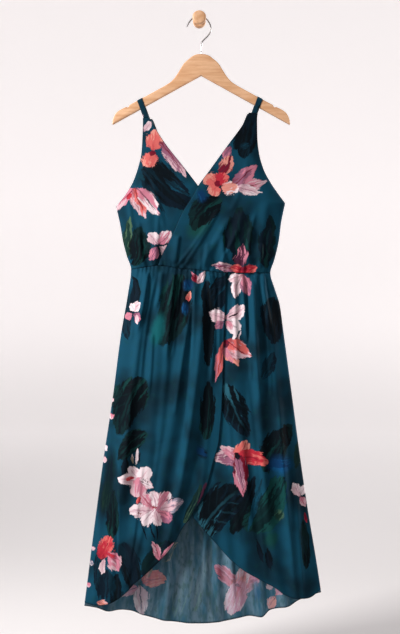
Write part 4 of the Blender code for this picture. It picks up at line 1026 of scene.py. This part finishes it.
def layOver(shapes):  # the layer of each shape, so that shapes of one layer don't overlap
    turns = np.linspace(0, 2 * math.pi, 28, endpoint=False)
    ring = np.stack([np.cos(turns), np.sin(turns)], axis=-1)
    rings = np.concatenate([ring, 0.6 * ring, [[0.0, 0.0]]])
    layers = []
    for i, shape in enumerate(shapes):
        own = shape["middle"] + rings[:, :1] * shape["sideways"] * shape["size"][0] \
            + rings[:, 1:] * shape["upward"] * shape["size"][1]
        layer = 0
        for k in range(i):
            other = shapes[k]
            off = own - other["middle"]
            u = off @ other["sideways"] / other["size"][0]
            v = off @ other["upward"] / other["size"][1]
            if np.any(u * u + v * v < 1.08):
                layer = max(layer, layers[k] + 1)
        layers.append(min(layer, printLayers - 1))
    return layers


def stampPrint(name):  # gives each face, in each layer, the shape that it lies nearest to
    mesh = sheets[name].data
    uv = np.empty(len(mesh.loops) * 2)
    mesh.uv_layers["cloth"].uv.foreach_get("vector", uv)
    uv = uv.reshape(-1, 2)
    starts = np.empty(len(mesh.polygons), dtype=int)
    counts = np.empty(len(mesh.polygons), dtype=int)
    mesh.polygons.foreach_get("loop_start", starts)
    mesh.polygons.foreach_get("loop_total", counts)
    centre = np.add.reduceat(uv, starts) / counts[:, None]
    points = edges[name]
    along = flatAcross(points)

    def flatPlace(x, height):
        away = (points[..., 0] - x) ** 2 + (points[..., 2] - height) ** 2
        at = np.unravel_index(np.argmin(away), away.shape)
        return np.array([along[at] + x - points[at][0], height])

    shapes = []
    for i, (brush, x0, z0, x1, z1, half, bend, *inks) in enumerate(prints[name]):
        base = flatPlace(x0, z0)
        tip = flatPlace(x1, z1)
        length = np.linalg.norm(tip - base)
        upward = (tip - base) / length
        shapes.append({"middle": (base + tip) / 2, "upward": upward,
                       "sideways": np.array([upward[1], -upward[0]]),
                       "size": (half, length / 2), "bend": bend, "brush": brushes[brush], "inks": inks,
                       "seed": (i * 0.377) % 0.9 + brushes[brush][4]})
    layers = layOver(shapes)
    for layer in range(printLayers):
        rows = [shape for shape, own in zip(shapes, layers) if own == layer] or [emptyShape]
        near = []
        for shape in rows:
            off = centre - shape["middle"]
            u = off @ shape["sideways"] / shape["size"][0]
            v = off @ shape["upward"] / shape["size"][1]
            near.append(u * u + v * v)
        pick = np.argmin(np.array(near), axis=0)
        facts = {
            "Spot": [(*s["middle"], s["seed"]) for s in rows],
            "Across": [(*(s["sideways"] / s["size"][0]), s["bend"]) for s in rows],
            "Upward": [(*(s["upward"] / s["size"][1]), s["brush"][0]) for s in rows],
            "Form": [s["brush"][1:4] for s in rows],
        }
        for k, part in enumerate(("Body", "Edge", "Line")):
            facts[part] = [ink[s["inks"][k]] for s in rows]
        for fact, values in facts.items():
            attribute = mesh.attributes.new("print" + str(layer) + fact, "FLOAT_VECTOR", "FACE")
            attribute.data.foreach_set("vector", np.array(values)[pick].ravel())
    return max(layers)


for name in sheets:
    print(name, "print shapes", len(prints[name]), "layers", stampPrint(name) + 1)
print("print laid on the cloth")


class Wire:  # a node's output; arithmetic on it adds Math nodes
    def __init__(self, finish, socket):
        self.finish = finish
        self.socket = socket

    def maths(self, operation, *others):
        return self.finish.add("ShaderNodeMath", {"operation": operation}, [self, *others])

    def __add__(self, other):
        return self.maths("ADD", other)

    def __sub__(self, other):
        return self.maths("SUBTRACT", other)

    def __rsub__(self, other):
        return self.finish.add("ShaderNodeMath", {"operation": "SUBTRACT"}, [other, self])

    def __mul__(self, other):
        return self.maths("MULTIPLY", other)

    def __truediv__(self, other):
        return self.maths("DIVIDE", other)

    def __pow__(self, other):
        return self.maths("POWER", other)

    def __abs__(self):
        return self.maths("ABSOLUTE")

    __radd__ = __add__
    __rmul__ = __mul__

    def clipped(self):
        return self.maths("MAXIMUM", 0.0).maths("MINIMUM", 1.0)

    def rising(self, low, high):  # 0 below low, 1 above high, smooth between
        return self.finish.add("ShaderNodeMapRange", {"interpolation_type": "SMOOTHSTEP"},
                               {"Value": self, "From Min": low, "From Max": high})


class Finish:  # one material, with its nodes
    def __init__(self, name, **constants):
        self.material = bpy.data.materials.new(name)
        self.material.use_nodes = True
        self.tree = self.material.node_tree
        self.shader = self.tree.nodes["Principled BSDF"]
        for socket, value in constants.items():
            self.shader.inputs[socket.replace("_", " ")].default_value = value

    def add(self, kind, settings=None, inputs=None, output=0):
        node = self.tree.nodes.new(kind)
        for key, value in (settings or {}).items():
            setattr(node, key, value)
        inputs = inputs or {}
        for key, value in inputs.items() if isinstance(inputs, dict) else enumerate(inputs):
            self.give(node.inputs[key], value)
        return Wire(self, node.outputs[output])

    def give(self, socket, value):
        if isinstance(value, Wire):
            self.tree.links.new(value.socket, socket)
        else:
            socket.default_value = value

    def paint(self, share, under, over):
        under = (*under, 1.0) if isinstance(under, tuple) else under
        over = (*over, 1.0) if isinstance(over, tuple) else over
        return self.add("ShaderNodeMix", {"data_type": "RGBA"}, {0: share, 6: under, 7: over}, 2)

    def brighten(self, colour, amount):
        return self.add("ShaderNodeVectorMath", {"operation": "SCALE"}, {0: colour, "Scale": amount})

    def split(self, vector):
        node = self.tree.nodes.new("ShaderNodeSeparateXYZ")
        self.tree.links.new(vector.socket, node.inputs[0])
        return [Wire(self, out) for out in node.outputs]

    def noise(self, vector, scale, detail=2.0, rough=0.5, output=0):
        return self.add("ShaderNodeTexNoise", None,
                        {"Vector": vector, "Scale": scale, "Detail": detail, "Roughness": rough}, output)

    def uv(self, name):
        return self.add("ShaderNodeUVMap", {"uv_map": name})

    def fact(self, name):
        return self.add("ShaderNodeAttribute", {"attribute_name": name}, None, "Vector")

    def bump(self, height, strength, distance):
        return self.add("ShaderNodeBump", None,
                        {"Height": height, "Strength": strength, "Distance": distance})

    def stretched(self, vector, *scale):
        return self.add("ShaderNodeVectorMath", {"operation": "MULTIPLY"}, {0: vector, 1: scale})


# How ragged a shape's edge is, how far its strokes pull the edge about, and how its inks change over.
brushwork = {
    "ragged": 0.22,
    "frayed": 0.9,
    "strokePull": 1.1,
    "strokeWidths": 3.4,
    "strokeLengths": 0.8,
    "fadeFrom": 0.20,
    "fadeTo": 0.40,
    "markFrom": 0.61,
    "markTo": 0.65,
    "markStrength": 0.6,
    "rimDark": 0.28,
    "veinSteps": 2.6,
    "cover": 0.96,
}


def brushOn(m, layer, place, rough, streak, ground):  # paints one layer's shapes over the ground
    b = brushwork
    fact = "print" + str(layer)
    x, y = place
    spotX, spotY, seed = m.split(m.fact(fact + "Spot"))
    acrossX, acrossY, bend = m.split(m.fact(fact + "Across"))
    upX, upY, widest = m.split(m.fact(fact + "Upward"))
    blunt, lines, soft = m.split(m.fact(fact + "Form"))
    body = m.fact(fact + "Body")
    edge = m.fact(fact + "Edge")
    mark = m.fact(fact + "Line")
    offX = x - spotX
    offY = y - spotY
    v = offX * upX + offY * upY
    u = offX * acrossX + offY * acrossY + bend * (v * v - 0.4) * 2
    side = abs(u)
    along = ((v + 1) * 0.5).clipped()
    outline = ((along ** widest) * math.pi).maths("SINE").maths("MAXIMUM", 0.0) ** blunt
    ragged = seed.maths("FLOOR")
    strokeAt = m.add("ShaderNodeCombineXYZ", None,
                     [u * b["strokeWidths"] + v * 0.4, v * b["strokeLengths"], seed * 21])
    strokes = m.noise(strokeAt, 1.0, 3.0, 0.6)
    gap = outline - side + (rough - 0.5) * (b["ragged"] + ragged * b["frayed"])
    gap = gap + (strokes - 0.5) * (b["strokePull"] - soft)
    inside = gap.rising(soft * -0.2, soft * 1.3 + 0.02) * (1 - abs(v).rising(0.97 - soft, 1.03))
    # paler to the tip and the edges, in strokes along the shape
    uneven = (strokes - 0.5) * 2.6 + (streak - 0.5) * 0.6
    fade = v * 0.36 + side * 0.30 + uneven + u * 0.18 + 0.06
    colour = m.paint(fade.rising(b["fadeFrom"], b["fadeTo"]), body, edge)
    marks = (strokes - v * 0.12).rising(b["markFrom"], b["markTo"]) * b["markStrength"]
    colour = m.paint(marks * (1 - soft * 1.5), colour, mark)
    rib = (1 - side.rising(0.03, 0.11)) * (1 - v.rising(0.25, 0.85))
    strength = lines.maths("FRACT")
    slant = v * b["veinSteps"] - side * 1.5 + seed * 7
    vein = 1 - abs(slant.maths("FRACT") - 0.5).rising(0.0, 0.13)
    vein = vein * (lines - 0.99).clipped() * side.rising(0.0, 0.3)
    glow = vein * (u.rising(-0.1, 0.1) * 0.75 + 0.25)
    colour = m.paint((rib * strength + glow * 0.55).clipped(), colour, mark)
    rim = gap.rising(0.0, 0.12) * b["rimDark"] + (1 - b["rimDark"])
    colour = m.brighten(colour, rim)
    return m.paint(inside * b["cover"], ground, colour)


# The print's edges wander by this much; scales are in turns a metre.
weaving = {"wander": 0.013, "wanderScale": 52.0, "broadScale": 9.0, "raggedScale": 260.0,
           "streakScale": 130.0, "washScale": 34.0, "grainScale": 900.0, "crepeScale": 420.0,
           "threads": 5200, "paleShare": 0.42}


def makeCloth(name, reverse):
    w = weaving
    m = Finish(name, Roughness=0.8, Specular_IOR_Level=0.06)
    flat = m.uv("cloth")
    broad = m.noise(flat, w["broadScale"], 2.0, 0.5)
    wanderX, wanderY, rough = m.split(m.noise(flat, w["wanderScale"], 5.0, 0.66, 1))
    x, y, _ = m.split(flat)
    place = (x + (wanderX - 0.5) * w["wander"], y + (wanderY - 0.5) * w["wander"])
    ragged = m.noise(flat, w["raggedScale"], 3.0, 0.7)
    streak = m.noise(m.stretched(flat, 1.0, 0.4, 1.0), w["streakScale"], 3.0)
    colour = m.paint(broad.rising(0.40, 0.66), ink["teal"], ink["tealDeep"])
    colour = m.paint(rough.rising(0.50, 0.75) * 0.35, colour, ink["greenLit"])
    for layer in range(printLayers):
        colour = brushOn(m, layer, place, ragged, streak, colour)
    grain = m.noise(flat, w["grainScale"], 2.0)
    colour = m.brighten(colour, grain * 0.24 + 0.88)
    if reverse:
        wash = m.noise(m.stretched(flat, 1.0, 0.22, 1.0), w["washScale"], 3.0)
        pale = m.paint(wash.rising(0.38, 0.62), linear(58, 98, 118), linear(122, 150, 168))
        pale = m.paint(streak.rising(0.45, 0.70) * 0.7, pale, linear(70, 104, 102))
        colour = m.paint(w["paleShare"], colour, pale)
    m.give(m.shader.inputs["Base Color"], colour)
    weave = (x * w["threads"]).maths("SINE") * (y * w["threads"]).maths("SINE")
    crepe = m.noise(flat, w["crepeScale"], 3.0, 0.6)
    m.give(m.shader.inputs["Normal"], m.bump(weave * 0.25 + crepe, 0.25, 0.0004))
    m.give(m.shader.inputs["Roughness"], 0.72 + crepe * 0.16)
    return m.material


def makeWood(name, along):
    m = Finish(name, Coat_Weight=0.12, Coat_Roughness=0.3)
    place = m.add("ShaderNodeTexCoord", None, None, "Object")
    stretch = (6.0, 60.0, 60.0) if along == "x" else (60.0, 6.0, 60.0)
    grainAt = m.add("ShaderNodeMapping", None, {"Vector": place, "Scale": stretch})
    rings = m.noise(grainAt, 1.6, 3.0, 0.55)
    fine = m.noise(grainAt, 9.0, 3.0, 0.6)
    flecks = m.noise(grainAt, 26.0, 1.0)
    colour = m.paint(rings.rising(0.35, 0.68), linear(216, 172, 134), linear(196, 146, 104))
    colour = m.paint(fine.rising(0.50, 0.80) * 0.45, colour, linear(172, 122, 82))
    colour = m.paint(flecks.rising(0.66, 0.74) * 0.35, colour, linear(146, 98, 64))
    m.give(m.shader.inputs["Base Color"], colour)
    m.give(m.shader.inputs["Roughness"], 0.42 + fine * 0.18)
    m.give(m.shader.inputs["Normal"], m.bump(fine, 0.12, 0.0006))
    return m.material


def makeSteel():
    m = Finish("hook_steel_wire", Metallic=1.0)
    place = m.add("ShaderNodeTexCoord", None, None, "Object")
    grain = m.noise(place, 900.0, 2.0)
    m.give(m.shader.inputs["Base Color"], m.paint(grain, linear(150, 148, 148), linear(178, 176, 176)))
    m.give(m.shader.inputs["Roughness"], 0.26 + grain * 0.14)
    return m.material


hems = {"radius": 0.00075, "strapShare": 0.6, "sides": 2}
armholeShare = cloth["underarmShare"]
# which edges of each panel show as a narrow rolled hem: side, first and last share down or across; the rolls
# on the skirts' tops also give the dark line at the waist seam, partly painted shade
rolled = {
    "skirt_front_over": (("top", 0.0, 1.0), ("bottom", 0.0, 1.0), ("right", 0.0, 1.0)),
    "skirt_front_under": (("top", 0.0, 1.0), ("bottom", 0.0, 1.0), ("left", 0.62, 1.0)),
    "skirt_back": (("top", 0.0, 1.0), ("bottom", 0.0, 1.0)),
    "bodice_front_under": (("left", 0.0, armholeShare), ("right", 0.0, 0.46)),
    "bodice_front_over": (("left", 0.0, 1.0), ("right", 0.0, armholeShare)),
    "bodice_back": (("left", 0.0, armholeShare), ("right", 0.0, armholeShare), ("top", 0.0, 1.0)),
    "strap_left": (("left", 0.0, 1.0), ("right", 0.0, 1.0)),
    "strap_right": (("left", 0.0, 1.0), ("right", 0.0, 1.0)),
}


def makeHemShadeFinish():
    m = Finish("rolled_hem_painted_shade", Specular_IOR_Level=0.08)
    place = m.add("ShaderNodeTexCoord", None, None, "Object")
    grain = m.noise(place, 320.0, 3.0)
    # Painted shade: the rolls are near-black, partly for the doubled cloth of the hem and partly for shade
    # along the edges.
    m.give(m.shader.inputs["Base Color"], m.paint(grain.rising(0.3, 0.7), ink["night"], ink["tealDeep"]))
    m.give(m.shader.inputs["Roughness"], 0.7 + grain * 0.2)
    m.give(m.shader.inputs["Normal"], m.bump(grain, 0.4, 0.0005))
    return m.material


def rollHems(name, finish):  # thin sewn rolls along a panel's free edges, joined to the panel
    points = edges[name]
    lines = {"top": points[0], "bottom": points[-1], "left": points[:, 0], "right": points[:, -1]}
    radius = hems["radius"] * (hems["strapShare"] if "strap" in name else 1.0)
    rolls = []
    for side, start, end in rolled[name]:
        line = lines[side]
        line = line[round(start * (len(line) - 1)):round(end * (len(line) - 1)) + 1]
        roll = tube("roll", [tuple(p) for p in line], radius, hems["sides"])
        roll.data.materials.append(finish)
        rolls.append(roll)
    startFresh()
    for roll in rolls:
        roll.select_set(True)
    sheets[name].select_set(True)
    bpy.context.view_layer.objects.active = sheets[name]
    bpy.ops.object.join()


clothFace = makeCloth("printed_cloth_face", False)
clothBack = makeCloth("printed_cloth_reverse", True)
for sheet in sheets.values():
    sheet.data.materials.append(clothFace)
    sheet.data.materials.append(clothBack)
hemShadeFinish = makeHemShadeFinish()
for name in sheets:
    rollHems(name, hemShadeFinish)
hangerBody.data.materials.append(makeWood("hanger_beech", "x"))
pegTurned.data.materials.append(makeWood("peg_beech", "y"))
hookWire.data.materials.append(makeSteel())
print("finishes made")

# Each piece rides on the one body and stands for its node.
stands = dict(sheets)
stands.update({"hanger_wood": hangerBody, "wall_peg": pegTurned, "hanger_hook": hookWire})
for nodeName, piece in stands.items():
    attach(piece, "root")
    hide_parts(nodeName)
# cut sizes: width and length of each panel laid flat, and its flat area where the cut is not a rectangle
cuts = {
    "skirt_front_over": ((0.40, 0.86), 0.222),
    "skirt_front_under": ((0.40, 0.84), 0.232),
    "skirt_back": ((0.66, 0.90), 0.439),
    "bodice_front_under": ((0.34, 0.40), 0.068),
    "bodice_front_over": ((0.36, 0.42), 0.076),
    "bodice_back": ((0.45, 0.40), 0.110),
    "strap_left": ((0.012, 0.143), None),
    "strap_right": ((0.012, 0.119), None),
}
for nodeName, (flat, area) in cuts.items():
    mesh = sheets[nodeName].data
    print(nodeName, "area", round(sum(p.area for p in mesh.polygons) / 2, 4), "faces", len(mesh.polygons))

stage = {"radius": 7.0, "floor": -1.62, "top": 6.0, "bend": 2.0, "sides": 96, "bendSteps": 12,
         "colour": (246, 244, 244), "tint": (250, 246, 246), "floorColour": (186, 183, 183),
         "dim": (20, 20, 20), "bright": (182, 178, 178)}


def makeStage():  # a pale floor whose rim curves up all round, open at the top
    startFresh()
    bend = stage["bend"]
    bpy.ops.mesh.primitive_circle_add(vertices=stage["sides"], radius=stage["radius"], fill_type="NOTHING",
                                      location=(0.0, 0.0, stage["floor"] + stage["top"]))
    floor = bpy.context.object
    floor.name = "studio_floor"
    bpy.ops.object.transform_apply(location=True)
    bpy.ops.object.mode_set(mode="EDIT")
    bpy.ops.mesh.select_all(action="SELECT")
    bpy.ops.mesh.extrude_edges_move(TRANSFORM_OT_translate={"value": (0.0, 0.0, bend - stage["top"])})
    radius, up = stage["radius"], bend
    for k in range(stage["bendSteps"]):
        angle = math.pi / 2 * (k + 1) / stage["bendSteps"]
        nextRadius = stage["radius"] - bend + bend * math.cos(angle)
        nextUp = bend * (1 - math.sin(angle))
        bpy.ops.mesh.extrude_edges_move(TRANSFORM_OT_translate={"value": (0.0, 0.0, nextUp - up)})
        bpy.ops.transform.resize(value=(nextRadius / radius, nextRadius / radius, 1.0))
        radius, up = nextRadius, nextUp
    bpy.ops.mesh.edge_face_add()
    bpy.ops.mesh.select_all(action="SELECT")
    bpy.ops.mesh.normals_make_consistent(inside=True)
    bpy.ops.object.mode_set(mode="OBJECT")
    bpy.ops.object.shade_smooth_by_angle(angle=math.radians(30))
    m = Finish("studio_paint_and_glow", Roughness=0.9)
    place = m.add("ShaderNodeTexCoord", None, None, "Object")
    tint = m.noise(place, 0.8, 2.0)
    _, back, up = m.split(place)
    paint = m.paint(tint, linear(*stage["colour"]), linear(*stage["tint"]))
    # Painted shade: the floor and the rim's foot are greyer than the wall, so the backdrop darkens towards
    # the floor.
    wall = (up - stage["floor"]).rising(-0.3, 1.0)
    m.give(m.shader.inputs["Base Color"], m.paint(wall, linear(*stage["floorColour"]), paint))
    # Painted light: the stage glows though it is no lamp, faintly in front and brightly behind the dress.
    glow = m.paint(back.rising(-4.5, 5.0), linear(*stage["dim"]), linear(*stage["bright"]))
    m.give(m.shader.inputs["Emission Color"], glow)
    m.shader.inputs["Emission Strength"].default_value = 1.0
    floor.data.materials.append(m.material)
    return floor


def addLight(name, place, aim, size, power, colour, spread):
    startFresh()
    bpy.ops.object.light_add(type="AREA", location=place)
    light = bpy.context.object
    light.name = name
    light.rotation_mode = "QUATERNION"
    light.rotation_quaternion = (Vector(aim) - Vector(place)).to_track_quat("-Z", "Y")
    light.data.size = size
    light.data.energy = power
    light.data.color = colour
    light.data.spread = math.radians(spread)


camera = {"place": (0.0017, -2.4, -0.7417), "lens": 54.15}
lights = {
    "window": ((-2.7, -1.6, 0.7), (0.0, 0.0, -0.8), 0.9, 36.0, (1.0, 0.98, 0.965), 75),
    "fill": ((2.4, -2.8, -0.2), (0.0, 0.0, -0.8), 2.2, 2.5, (1.0, 0.98, 0.98), 140),
    "rear": ((3.0, 1.2, 0.4), (0.0, 0.0, -0.62), 0.7, 10.0, (1.0, 0.98, 0.97), 42),
}
sky = {"colour": (0.94, 0.93, 0.93), "strength": 0.24}
makeStage()
for name, facts in lights.items():
    addLight(name, *facts)
bpy.ops.object.camera_add(location=camera["place"], rotation=(math.radians(90), 0.0, 0.0))
bpy.context.scene.camera = bpy.context.object
bpy.context.object.data.lens = camera["lens"]
world = bpy.data.worlds.new("pale_studio")
bpy.context.scene.world = world
world.use_nodes = True
world.node_tree.nodes["Background"].inputs["Color"].default_value = (*sky["colour"], 1.0)
world.node_tree.nodes["Background"].inputs["Strength"].default_value = sky["strength"]
bpy.context.scene.view_settings.view_transform = "Standard"
print("studio made")
